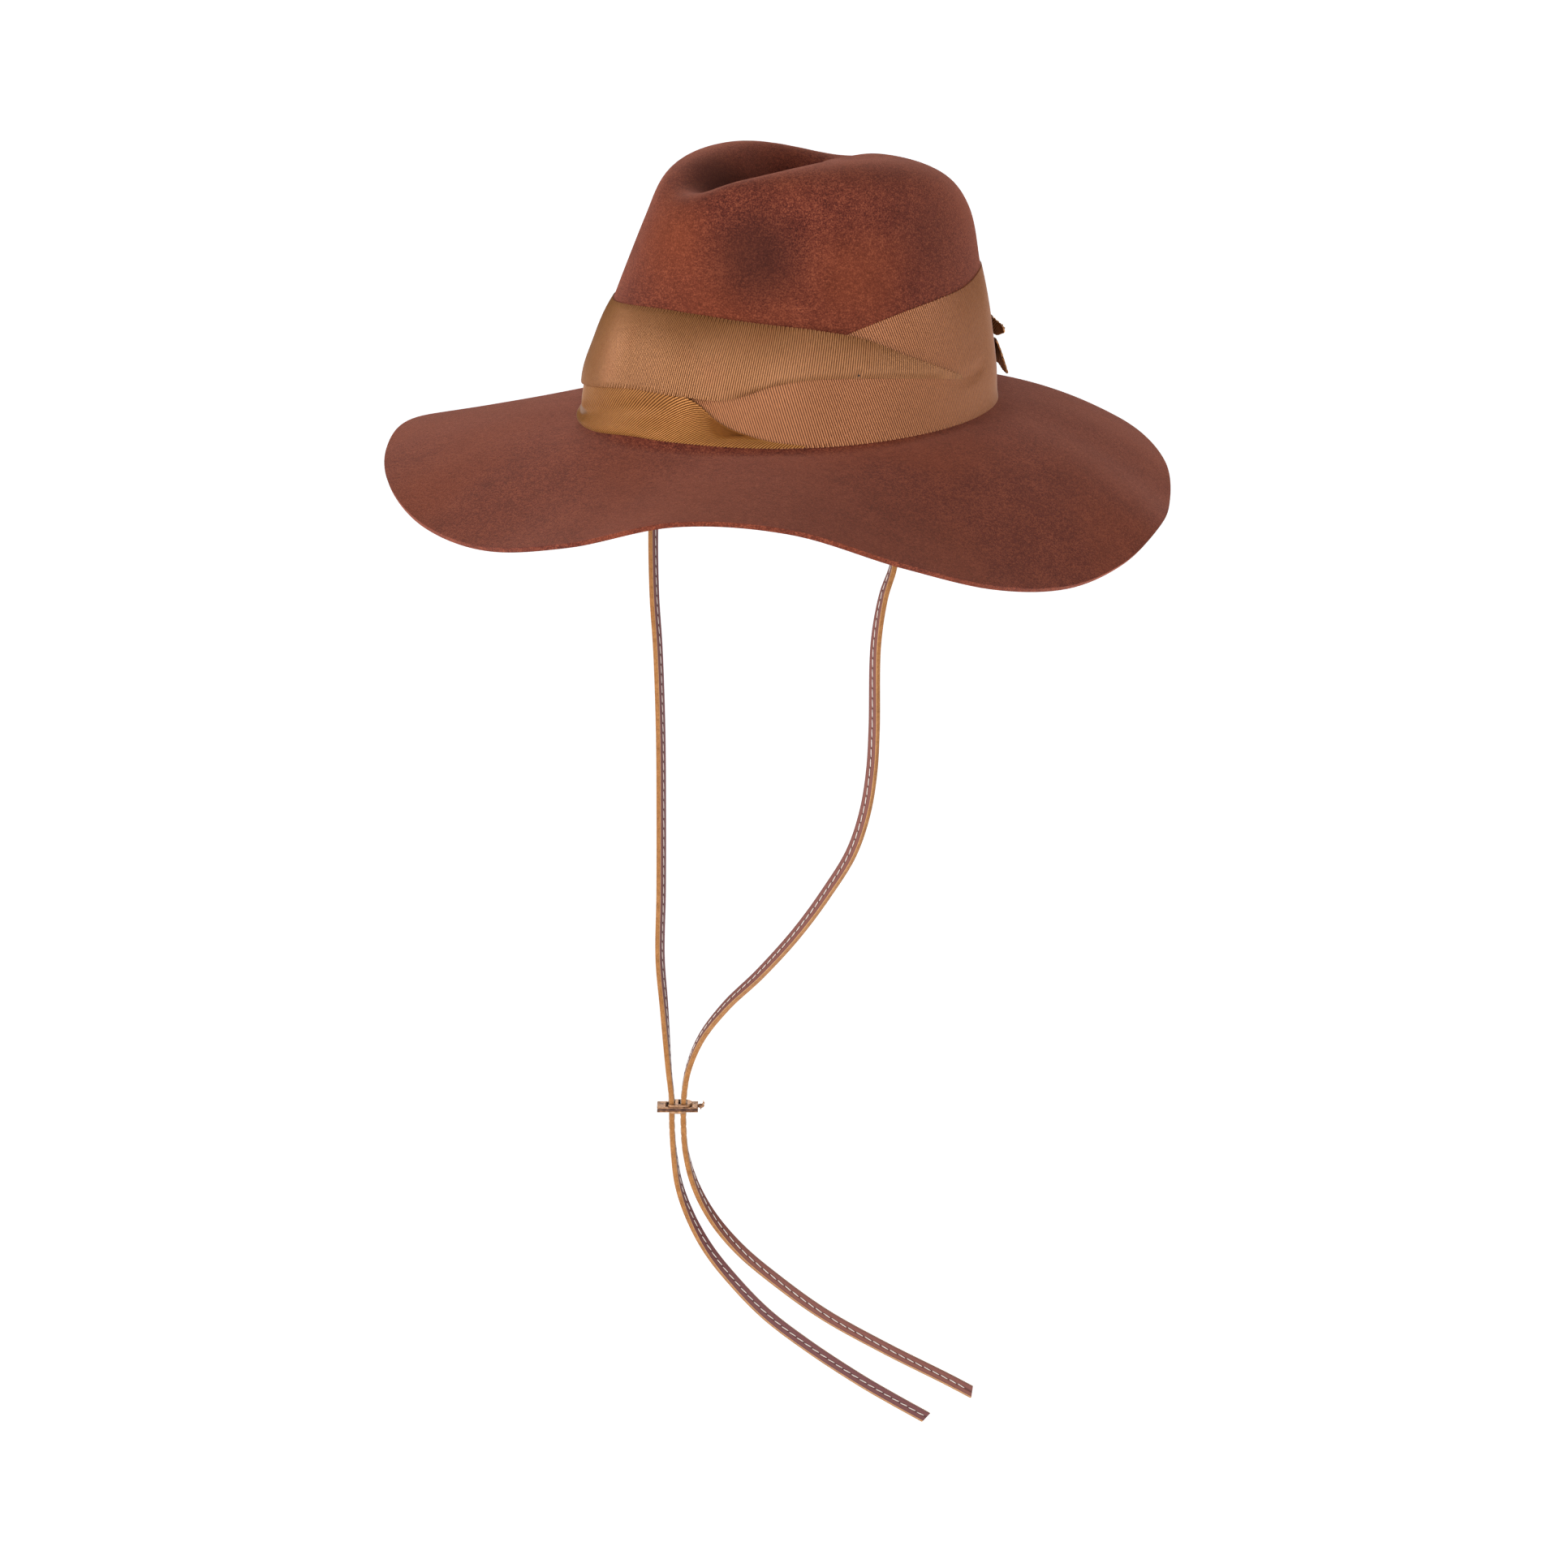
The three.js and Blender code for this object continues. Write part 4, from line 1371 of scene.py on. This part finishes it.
    def tail_shape(self, rows: tuple[RibbonRow, ...], pink: float) -> Callable[[Array, Array], Array]:
        """The outer face of one tail, with its free end cut in teeth.

        Args:
            rows: The tail's edges and how far they stand off.
            pink: Length of the teeth, in degrees.

        Returns:
            The shape of a sheet.
        """
        def shape(u: Array, v: Array) -> Array:
            """Points of the tail.

            Args:
                u: Shares of the way from the free end to the knot.
                v: Shares of the way up.

            Returns:
                Points in millimetres.
            """
            u, v = np.broadcast_arrays(u, v)
            first, last = rows[0].angle, rows[-1].angle
            angle = first + (last - first) * u
            low, high, lift_low, lift_high = (
                column(rows, "angle", key, angle) for key in ("bottom", "top", "lift_bottom", "lift_top"))
            teeth = np.abs(np.sin(v * (high - low) / self.tooth * math.pi))
            angle = angle + pink * (0.6 - teeth) * bell(u, 0.025)
            lift = lift_high + (lift_low - lift_high) * (1 - v) ** 0.8
            scallop = 0.45 * (np.abs(np.sin(u * 11.5 * math.pi)) - 0.6) * (v > 0.999)
            along, up = self.tail_ribs
            ribbed = 0.22 * (np.abs(np.sin((u * along + v * up) * math.pi)) - 1)
            return BLOCK.wall_point(angle, low + (high - low) * v + scallop, lift + 1.0 + ribbed)

        return shape

    @staticmethod
    def finish_bow(piece: bpy.types.Object, node: str, ribs: tuple[float, float], wall: float) -> None:
        """Weave, thicken, dress and fit one piece of the bow.

        Args:
            piece: The open sheet.
            node: The solid that it replaces.
            ribs: How many ribs it has along each of its two ways.
            wall: Thickness in millimetres.
        """
        pair = Workbench.sheet_ways(piece)
        Workbench.uv_values(piece, "weave", np.stack([pair @ ribs, pair @ (3.0, 20.0)], axis=1))
        Workbench.modify(piece, "SOLIDIFY", thickness=wall * MM, offset=-1)
        dress(piece, Finish.RIBBON_BOW_PAINTED_LIGHT)
        Workbench.smooth(piece, 50)
        Workbench.fit(piece, "ribbon", node)


@dataclass(frozen=True)
class Turn:
    """How far the strap's face is turned about its own length at a share of its run."""

    run: float
    turn: float


@dataclass(frozen=True)
class Route:
    """A smooth line through points, measured along its length, as the cords follow it."""

    points: tuple[Triple, ...]
    divisions: int = 600
    step: float = 1e-4

    def at(self, t: Array) -> Array:
        """Points of a centripetal curve.

        Args:
            t: Shares of the curve's point count.

        Returns:
            Points in millimetres.
        """
        p = np.array(self.points, float)
        p = np.vstack([2 * p[0] - p[1], p, 2 * p[-1] - p[-2]])
        place = np.clip(np.asarray(t, float), 0, 1) * (len(p) - 3)
        i = np.minimum(place.astype(int), len(p) - 4)
        w = (place - i)[:, None]
        p0, p1, p2, p3 = (p[i + k] for k in range(4))
        d0, d1, d2 = (np.maximum(np.linalg.norm(b - a, axis=1) ** 0.5, 1e-4)[:, None]
                      for a, b in ((p0, p1), (p1, p2), (p2, p3)))
        t1 = ((p1 - p0) / d0 - (p2 - p0) / (d0 + d1) + (p2 - p1) / d1) * d1
        t2 = ((p2 - p1) / d1 - (p3 - p1) / (d1 + d2) + (p3 - p2) / d2) * d1
        return (p1 + t1 * w + (-3 * p1 + 3 * p2 - 2 * t1 - t2) * w**2
                + (2 * p1 - 2 * p2 + t1 + t2) * w**3)

    def even(self, count: int) -> tuple[Array, Array, float]:
        """Evenly spaced points along the line.

        Args:
            count: How many points.

        Returns:
            The points, the direction at each, and the line's length in millimetres.
        """
        t = np.linspace(0, 1, self.divisions + 1)
        dense = self.at(t)
        run = np.concatenate([[0], np.cumsum(np.linalg.norm(np.diff(dense, axis=0), axis=1))])
        where = np.interp(np.linspace(0, run[-1], count), run, t)
        ahead, behind = (self.at(np.clip(where + step, 0, 1)) for step in (self.step, -self.step))
        return self.at(where), unit(ahead - behind), float(run[-1])


@dataclass(frozen=True)
class StrapLeather:
    """Cross-section of the flat strap and the stitches that run along it."""

    width: float = 5.5
    thickness: float = 2.5
    corner: float = 0.38
    pitch: float = 4.7
    dash: float = 4.0
    thread: float = 0.52
    clearance: float = 0.4
    edge_bulge: float = 0.12
    first_stitch: float = 0.8
    last_stitch: float = 0.45
    stitch_skew: float = 0.07
    stitch_lift: float = 0.03

    def depth(self) -> float:
        """Where the middle of a strap lies that runs inside the crown, off the felt's outer face."""
        return -(BLOCK.felt_wall + self.clearance + self.thickness / 2)

    def section(self) -> tuple[Array, Array]:
        """The section of the strap.

        Returns:
            Its points, and whether each side of it is cut edge instead of face.
        """
        w, t, c = self.width / 2, self.thickness / 2, self.corner
        corners = [(w - c, -t), (w, c - t), (w, t - c), (w - c, t),
                   (c - w, t), (-w, t - c), (-w, c - t), (c - w, -t)]
        steps = (2, 4, 2, 6, 2, 4, 2, 6)
        points, raw = [], []
        for k, count in enumerate(steps):
            a, b = np.array(corners[k]), np.array(corners[(k + 1) % 8])
            for j in range(count):
                points.append(a + (b - a) * j / count)
                raw.append(k not in (3, 7))
        points = np.array(points)
        edge = np.abs(points[:, 0]) > w - 1e-6
        bulge = np.sign(points[:, 0]) * self.edge_bulge * (1 - (points[:, 1] / t) ** 2)
        points[:, 0] += np.where(edge, bulge, 0)
        return points, np.array(raw)

    def tube(self, name: str, centres: Array, across: Array, face: Array, run: Array,
             finish: Finish, slant: tuple[float, float] = (0, 0)) -> bpy.types.Object:
        """A strap through ring centres.

        Args:
            name: Name of the new object.
            centres: Ring centres in millimetres.
            across: Direction of the width at each ring.
            face: Direction that the face looks in at each ring.
            run: Millimetres along the strap at each ring.
            finish: Finish of the faces.
            slant: How far each end is cut at a slant.

        Returns:
            The strap, dressed with its face and its cut edge.
        """
        section, raw = self.section()
        count, rings = len(section), len(centres)
        tangent = np.cross(across, face)
        points = (centres[:, None] + across[:, None] * section[None, :, :1]
                  + face[:, None] * section[None, :, 1:])
        for ring, amount in ((0, slant[0]), (-1, slant[1])):
            points[ring] += tangent[ring] * section[:, :1] * amount
        i, j = np.meshgrid(np.arange(rings - 1), np.arange(count), indexing="ij")
        k = (j + 1) % count
        quads = np.stack([i * count + j, i * count + k, (i + 1) * count + k, (i + 1) * count + j], -1)
        faces = [list(map(int, q)) for q in quads.reshape(-1, 4)]
        faces += [list(range(count - 1, -1, -1)), [(rings - 1) * count + n for n in range(count)]]
        piece = Workbench.mesh(name, points.reshape(-1, 3), faces)
        dress(piece, finish, Finish.STRAP_EDGE)
        slots = np.concatenate([np.tile(raw.astype(int), rings - 1), [1, 1]])
        piece.data.polygons.foreach_set("material_index", slots)
        loops = Workbench.loop_vertices(piece)
        side, deep = section[loops % count].T
        is_raw = np.repeat(slots, [len(p.vertices) for p in piece.data.polygons]) > 0
        Workbench.uv_values(piece, "strap", np.stack([run[loops // count], np.where(is_raw, deep, side)], 1))
        Workbench.smooth(piece, 30)
        return piece

    def stitches(self, name: str, centres: Array, across: Array, face: Array, run: Array) -> bpy.types.Object:
        """Both rows of stitches along a strap, as one piece.

        Args:
            name: Name of the new object.
            centres: Ring centres in millimetres.
            across: Direction of the width at each ring.
            face: Direction that the face looks in at each ring.
            run: Millimetres along the strap at each ring.

        Returns:
            The stitches.
        """
        Workbench.clear()
        bpy.ops.mesh.primitive_uv_sphere_add(segments=6, ring_count=6, radius=0.5)
        blank = Workbench.named(name)
        bpy.ops.transform.rotate(value=math.pi / 2, orient_axis="X", center_override=(0, 0, 0))
        Workbench.settle(blank)
        dash = Workbench.points(blank)
        faces = [list(p.vertices) for p in blank.data.polygons]
        bpy.data.objects.remove(blank)
        dash[:, 1] = np.sign(dash[:, 1]) * (np.abs(dash[:, 1]) * 2) ** 0.6 / 2
        dash = dash * [self.thread, self.dash, self.thread]
        starts = np.arange(self.pitch * self.first_stitch, run[-1] - self.pitch * self.last_stitch,
                           self.pitch)
        points, polygons = [], []
        for side in (1, -1):
            for start in starts:
                centre, wide, out = (np.array([np.interp(start, run, table[:, c]) for c in range(3)])
                                     for table in (centres, across, face))
                forward = unit(np.cross(wide, out))
                wide, out = unit(wide), unit(out) * side
                skew = dash[:, :1] + dash[:, 1:2] * self.stitch_skew
                polygons += [[n + len(points) * len(dash) for n in face_row] for face_row in faces]
                points.append(centre + wide * skew + forward * dash[:, 1:2]
                              + out * (self.thickness / 2 + self.stitch_lift + dash[:, 2:]))
        piece = Workbench.mesh(name, np.concatenate(points), polygons)
        dress(piece, Finish.THREAD)
        Workbench.smooth(piece, 180)
        Workbench.edit(piece, bpy.ops.mesh.normals_make_consistent, inside=False)
        return piece


class Side(Enum):
    """Which side of the wearer a free half of the strap starts on."""

    LEFT = 1
    RIGHT = -1


@dataclass(frozen=True)
class Strand:
    """A free half of the chin strap, from the ear to its cut end."""

    side: Side
    finish: Finish
    length: float
    points: tuple[Triple, ...]
    twist: tuple[Turn, ...]
    rings: int = 520
    ear_angle: float = 85.5
    ear_height: float = 3.7
    end_slant: float = 0.3

    def build(self, leather: StrapLeather, riders: Sequence[bpy.types.Object]) -> bpy.types.Object:
        """Args:
            leather: The strap's section and stitches.
            riders: Other pieces that sit on this cord; not used.

        Returns:
            The strand.
        """
        ear = BLOCK.wall_point(np.array(self.side.value * self.ear_angle), np.array(self.ear_height),
                               np.array(leather.depth()))
        centres, tangent, length = Route((tuple(ear), *self.points)).even(self.rings)
        share = np.linspace(0, 1, self.rings)
        # The strap's turns are measured from the way halfway between the hat's front and its left.
        viewed = np.array([math.sqrt(0.5), -math.sqrt(0.5), 0])
        front = unit(viewed - tangent * (tangent @ viewed)[:, None])
        beside = -np.cross(tangent, front)
        turn = np.radians(column(self.twist, "run", "turn", share))[:, None]
        face = front * np.cos(turn) + beside * np.sin(turn)
        across = np.cross(face, tangent)
        label = self.side.name.lower()
        strand = leather.tube(f"strap_strand_{label}", centres, across, face, share * length,
                              self.finish, (0, self.end_slant))
        stitches = leather.stitches(f"strap_stitches_{label}", centres, across, face, share * length)
        Workbench.fit(strand, "leather", f"strap_{label}")
        Workbench.fit(stitches, "leather")
        tuple(ear * MM)
        (centres * MM).tolist()
        log.info("%s: %.1f mm long", strand.name, length)
        return strand


@dataclass(frozen=True)
class BackRun:
    """The hidden stretch of the strap, up the inner wall at each ear and round the back."""

    height: float = 24
    turn: float = 11.4
    ear_angle: float = 85.5
    ear_height: float = 4

    def stations(self) -> Array:
        """Places along the run.

        Returns:
            Rows of an angle and a height.
        """
        t = np.linspace(0, math.pi / 2, 14)[:-1]
        climb = np.stack([self.ear_angle + self.turn * (1 - np.cos(t)),
                          self.ear_height + (self.height - self.ear_height) * np.sin(t)], axis=1)
        along = np.linspace(self.ear_angle + self.turn, 360 - self.ear_angle - self.turn, 110)
        level = np.stack([along, np.full(along.size, self.height)], axis=1)
        return np.concatenate([climb, level, climb[::-1] * [-1, 1] + [360, 0]])

    def build(self, leather: StrapLeather) -> bpy.types.Object:
        """Model the run and its stitches.

        Args:
            leather: The strap's section and stitches.

        Returns:
            The hidden stretch of the strap.
        """
        angle, height = self.stations().T
        centres = BLOCK.wall_point(angle, height, np.full(len(angle), leather.depth()))
        tangent = np.gradient(centres, axis=0)
        tangent[0], tangent[-1] = (0, 0, 1), (0, 0, -1)
        tangent = unit(tangent)
        outward = BLOCK.wall_point(angle, height, np.zeros(len(angle))) - centres
        face = unit(outward - tangent * (outward * tangent).sum(axis=1)[:, None])
        across = np.cross(face, tangent)
        run = np.concatenate([[0], np.cumsum(np.linalg.norm(np.diff(centres, axis=0), axis=1))])
        piece = leather.tube("strap_run_back", centres, across, face, run, Finish.STRAP_RIGHT)
        stitches = leather.stitches("strap_stitches_back", centres, across, face, run)
        Workbench.fit(piece, "leather", "strap_back")
        Workbench.fit(stitches, "leather")
        return piece


@dataclass(frozen=True)
class Horn:
    """One cone of the claw: its tilt, the share of its foot that its tip has, and its size."""

    name: str
    tilt: float
    tip: float
    radius: float
    half_height: float
    place: Triple


@dataclass(frozen=True)
class StrapSlide:
    """The brass slide: a channelled bar, a collar, a lip and a cast claw."""

    place: Triple = (-68.3, -8, -352)
    turn: float = 45
    length: float = 19.6
    depth: float = 9.4
    thickness: float = 2.4
    channel_levels: tuple[float, ...] = (0.78, 0.5, -0.5, -0.78)
    channel_ends: float = 0.35
    channel_sides: float = 0.55
    slots: tuple[float, float] = (-3.25, 2.45)
    slot_size: Triple = (4.2, 6.6, 12)
    claw_place: Triple = (11.1, 0, 0.55)
    claw_size: Triple = (1.75, 1.2, 1.05)
    horns: tuple[Horn, ...] = (
        Horn("claw_horn_root", 32, 0.7, 0.62, 0.8, (12.2, 0, 1.45)),
        Horn("claw_horn_tip", -12, 0.3, 0.45, 0.8, (12.5, 0, 2.45)),
        Horn("claw_nub", 172, 0.5, 0.5, 0.6, (11.1, 0, -0.65)))

    def bar(self) -> bpy.types.Object:
        """The bar, with a channel pressed all round it.

        Returns:
            The bar at the origin.
        """
        Workbench.clear()
        bpy.ops.mesh.primitive_cube_add(size=1)
        bar = Workbench.named("slide_bar")
        bar.scale = (self.length, self.depth, self.thickness)
        Workbench.settle(bar)
        bpy.ops.object.mode_set(mode="EDIT")
        for level in self.channel_levels:
            bpy.ops.mesh.select_all(action="SELECT")
            bpy.ops.mesh.bisect(plane_co=(0, 0, level), plane_no=(0, 0, 1))
        bpy.ops.mesh.select_all(action="DESELECT")
        bpy.ops.object.mode_set(mode="OBJECT")
        points = Workbench.points(bar)
        inner = np.abs(points[:, 2]) < 0.6
        points[inner, 0] -= np.sign(points[inner, 0]) * self.channel_ends
        points[inner, 1] -= np.sign(points[inner, 1]) * self.channel_sides
        Workbench.move(bar, points)
        Workbench.modify(bar, "BEVEL", width=0.16, segments=2, limit_method="ANGLE")
        return bar

    @staticmethod
    def plate(name: str, length: float, depth: float, base: float, top: float,
              x: float) -> bpy.types.Object:
        """A flat plate with half-round ends and a rounded rim.

        Args:
            name: Name of the new object.
            length: Its whole length.
            depth: Its width, and that of its round ends.
            base: Level of its lower face.
            top: Level of its upper face.
            x: How far its middle is from the bar's.

        Returns:
            The plate.
        """
        Workbench.clear()
        bpy.ops.mesh.primitive_cylinder_add(vertices=40, radius=depth / 2, depth=top - base,
                                            location=(0, 0, (top + base) / 2))
        plate = Workbench.named(name)
        Workbench.settle(plate)
        points = Workbench.points(plate)
        points[:, 0] += np.sign(points[:, 0]) * (length - depth) / 2 + x
        Workbench.move(plate, points)
        Workbench.modify(plate, "BEVEL", width=0.3, segments=3, limit_method="ANGLE")
        return plate

    def claw(self) -> list[bpy.types.Object]:
        """The small cast claw: a round body, a horn that curls up and a nub below.

        Returns:
            Its parts.
        """
        Workbench.clear()
        bpy.ops.mesh.primitive_uv_sphere_add(segments=20, ring_count=12, radius=1, location=self.claw_place)
        body = Workbench.named("claw_body")
        body.scale = self.claw_size
        Workbench.settle(body)
        parts = [body]
        for horn in self.horns:
            Workbench.clear()
            bpy.ops.mesh.primitive_cone_add(vertices=14, radius1=1, radius2=horn.tip, depth=2)
            part = Workbench.named(horn.name)
            part.scale = (horn.radius, horn.radius, horn.half_height)
            part.rotation_euler = (0, math.radians(horn.tilt), 0)
            part.location = horn.place
            Workbench.settle(part)
            Workbench.modify(part, "BEVEL", width=0.15, segments=2, limit_method="ANGLE")
            parts.append(part)
        return parts

    def build(self) -> bpy.types.Object:
        """Model and dress the slide.

        Returns:
            The slide as one piece.
        """
        top = self.thickness / 2
        parts = [self.bar(),
                 self.plate("slide_collar", length=13.2, depth=8.8, base=top - 0.2, top=top + 1.2, x=0.6),
                 self.plate("slide_lip", length=10.6, depth=8.4, base=-top - 1.0, top=-top + 0.2, x=0)]
        for x in self.slots:
            for part in parts:
                self.pierce(part, x)
        self.join(parts + self.claw())
        slide = Workbench.named("slide_cast")
        slide.rotation_euler = (0, 0, math.radians(self.turn))
        Workbench.settle(slide)
        Workbench.move(slide, (Workbench.points(slide) + self.place) * MM)
        dress(slide, Finish.BRASS, Finish.DARK_METAL)
        self.blacken(slide)
        Workbench.smooth(slide, 35)
        Workbench.fit(slide, "brass", "strap_slide")
        return slide

    def pierce(self, part: bpy.types.Object, x: float) -> None:
        """Cut one strap slot through a part.

        Args:
            part: The bar or a plate.
            x: Where the slot's middle is.
        """
        Workbench.clear()
        bpy.ops.mesh.primitive_cube_add(size=1, location=(x, 0, 0))
        cutter = Workbench.named("slot_cutter")
        cutter.scale = self.slot_size
        Workbench.settle(cutter)
        Workbench.modify(part, "BOOLEAN", operation="DIFFERENCE", object=cutter, solver="EXACT")
        bpy.data.objects.remove(cutter)

    @staticmethod
    def join(parts: Sequence[bpy.types.Object]) -> None:
        """Join parts into the first one.

        Args:
            parts: The parts.
        """
        Workbench.clear()
        for part in parts:
            part.select_set(True)
        bpy.context.view_layer.objects.active = parts[0]
        bpy.ops.object.join()

    def blacken(self, slide: bpy.types.Object) -> None:
        """Give the channel and the slots the dark finish.

        Args:
            slide: The slide in its place.
        """
        turn = math.radians(-self.turn)
        for polygon in slide.data.polygons:
            place = polygon.center / MM - Vector(self.place)
            x = place.x * math.cos(turn) - place.y * math.sin(turn)
            y = place.x * math.sin(turn) + place.y * math.cos(turn)
            upright = abs(polygon.normal.z) < 0.5
            channel = abs(place.z) < 0.55 and abs(x) < 9.9
            slot = abs(y) < 3.4 and min(abs(x - middle) for middle in self.slots) < 2.15
            if upright and (channel or slot):
                polygon.material_index = 1


@dataclass(frozen=True)
class ChinStrap:
    """The whole chin strap: two free halves, the hidden run and the slide."""

    leather: StrapLeather = StrapLeather()
    slide: StrapSlide = StrapSlide()
    back: BackRun = BackRun()
    left: Strand = Strand(
        Side.LEFT, Finish.STRAP_LEFT, 613.0,
        ((77.2, -8, -20), (75.8, -8, -42), (72.9, -8, -59.5), (66.6, -7.8, -75), (61.9, -7.7, -98),
         (60.9, -7.5, -138), (59.4, -7.4, -158), (55.2, -7.2, -178), (46.7, -7.1, -199),
         (30.7, -6.9, -222), (10.9, -6.8, -246.5), (-13.4, -6.6, -272), (-36.8, -6.4, -294),
         (-53.9, -6.3, -314.5), (-63.1, -6.1, -333), (-65.9, -6, -346), (-66.3, -6, -352),
         (-66.4, -6, -361), (-65.7, -5.3, -375), (-62.5, -2.2, -392), (-56.4, 3.8, -409),
         (-47.2, 13.1, -425.5), (-34.2, 26.1, -442), (-18.4, 41.8, -459), (1.7, 62, -476),
         (24.1, 84.4, -493), (32.4, 92.7, -499.6)),
        (Turn(0, -135), Turn(0.17, -54), Turn(0.45, -56), Turn(0.64, -90), Turn(0.68, -90),
         Turn(0.8, -145), Turn(1, -150)))
    right: Strand = Strand(
        Side.RIGHT, Finish.STRAP_RIGHT, 572.0,
        ((-78.2, -8, -20), (-81, -8, -48), (-82.4, -8, -72), (-81.9, -8, -102), (-79.4, -8.4, -127),
         (-77.6, -8.7, -166), (-77.2, -9, -206), (-77.6, -9.1, -246), (-78.4, -9.3, -279),
         (-75.6, -9.6, -303), (-72.4, -9.8, -334), (-70.5, -10, -346), (-70.3, -10, -352),
         (-70.3, -10, -361), (-69.7, -9.4, -375), (-68, -7.7, -392), (-63.9, -3.7, -409),
         (-57.9, 2.4, -425.5), (-49.2, 11.1, -442), (-38, 22, -459), (-23.4, 36.8, -476),
         (-6.4, 53.9, -493), (3.6, 64, -502), (16.8, 77, -513)),
        (Turn(0, 45), Turn(0.17, 60), Turn(0.5, 62), Turn(0.61, 90), Turn(0.65, 90),
         Turn(0.8, 35), Turn(1, 30)))

    def build(self) -> list[bpy.types.Object]:
        """Model the strap and its slide.

        Returns:
            The strap's main pieces.
        """
        slide = self.slide.build()
        return [self.left.build(self.leather, ()), self.right.build(self.leather, (slide,)),
                self.back.build(self.leather)]


@dataclass(frozen=True)
class Lamp:
    """A wide soft sun, by its strength and the direction that it stands in, in degrees."""

    name: str
    energy: float
    azimuth: float
    elevation: float


@dataclass(frozen=True)
class Studio:
    """Camera, floor and soft light."""

    azimuth: float = 45.0
    elevation: float = 16.5
    distance: float = 2.4
    pixels_per_mm: float = 2.72
    frame_pixels: float = 1932.0
    origin_pixel: tuple[float, float] = (974.0, 502.0)
    sensor: float = 36
    floor: float = -0.53
    floor_glow: float = 0.74
    world_glow: float = 0.02
    lamp_distance: float = 2.2
    lamp_spread: float = 24
    lamps: tuple[Lamp, ...] = (
        Lamp("key", 1.57, 0, 12), Lamp("front", 0.87, 45, 12), Lamp("fill", 0.95, 90, 12),
        Lamp("side", 0.33, -20, 34), Lamp("edge", 0.17, -45, 12), Lamp("rim", 0.61, 225, 30))

    @staticmethod
    def towards(azimuth: float, elevation: float) -> Vector:
        """The direction from the hat to a place round it.

        Args:
            azimuth: Turn from the hat's front towards its left, in degrees.
            elevation: Height above the level, in degrees.

        Returns:
            The direction with length 1.
        """
        a, e = math.radians(azimuth), math.radians(elevation)
        return Vector((math.sin(a) * math.cos(e), -math.cos(a) * math.cos(e), math.sin(e)))

    def axes(self) -> tuple[Vector, Vector, Vector]:
        """The camera's own directions.

        Returns:
            Right, up and backwards.
        """
        turn = math.radians(self.azimuth)
        right = Vector((math.cos(turn), math.sin(turn), 0))
        back = self.towards(self.azimuth, self.elevation)
        return right, back.cross(right), back

    def camera(self) -> bpy.types.Object:
        """Add the camera at the photograph's angle.

        Returns:
            The camera.
        """
        right, up, back = self.axes()
        middle = self.frame_pixels / 2
        scale = self.pixels_per_mm / MM
        target = (right * (-(self.origin_pixel[0] - middle) / scale)
                  + up * ((self.origin_pixel[1] - middle) / scale))
        data = bpy.data.cameras.new("camera")
        data.sensor_width = self.sensor
        data.lens = self.distance * self.sensor * scale / self.frame_pixels
        data.clip_end = 60
        camera = bpy.data.objects.new("camera", data)
        turn = Matrix((right, up, back)).transposed().to_4x4()
        camera.matrix_world = Matrix.Translation(target + back * self.distance) @ turn
        bpy.context.scene.collection.objects.link(camera)
        bpy.context.scene.camera = camera
        return camera

    def light(self, lamp: Lamp) -> None:
        """Add a lamp that shines on the hat.

        Args:
            lamp: Its name, strength and direction.
        """
        data = bpy.data.lights.new(lamp.name, "SUN")
        data.energy = lamp.energy
        data.angle = math.radians(self.lamp_spread)
        sun = bpy.data.objects.new(lamp.name, data)
        way = self.towards(lamp.azimuth, lamp.elevation)
        sun.location = way * self.lamp_distance + Vector((0, 0, -0.05))
        sun.rotation_euler = way.to_track_quat("Z", "Y").to_euler()
        bpy.context.scene.collection.objects.link(sun)

    def build(self) -> None:
        """Set up the camera, the floor, the world and the lamps."""
        self.camera()
        Workbench.clear()
        bpy.ops.mesh.primitive_plane_add(size=60, location=(0, 0, self.floor))
        floor = Workbench.named("pale_floor")
        nodes = Nodes("pale_floor")
        haze = nodes.noise(2.5, 2)
        floor.data.materials.append(nodes.surface(
            Base_Color=nodes.mix((0.9, 0.9, 0.9, 1), (0.92, 0.92, 0.92, 1), haze), Roughness=0.9,
            Specular_IOR_Level=0.1, Emission_Color=(1, 1, 1, 1), Emission_Strength=self.floor_glow))
        world = bpy.data.worlds.new("studio")
        world.use_nodes = True
        glow = world.node_tree.nodes["Background"].inputs
        glow["Color"].default_value = (1.0, 1.0, 1.0, 1)
        glow["Strength"].default_value = self.world_glow
        bpy.context.scene.world = world
        for lamp in self.lamps:
            self.light(lamp)
        bpy.context.scene.view_settings.view_transform = "Standard"


def main() -> None:
    """Build the hat piece by piece."""
    logging.basicConfig(level=logging.INFO, format="%(name)s: %(message)s")
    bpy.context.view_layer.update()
    Studio().build()
    ChinStrap().build()
    FeltBody().build()
    Band().build()


if __name__ == "__main__":
    main()
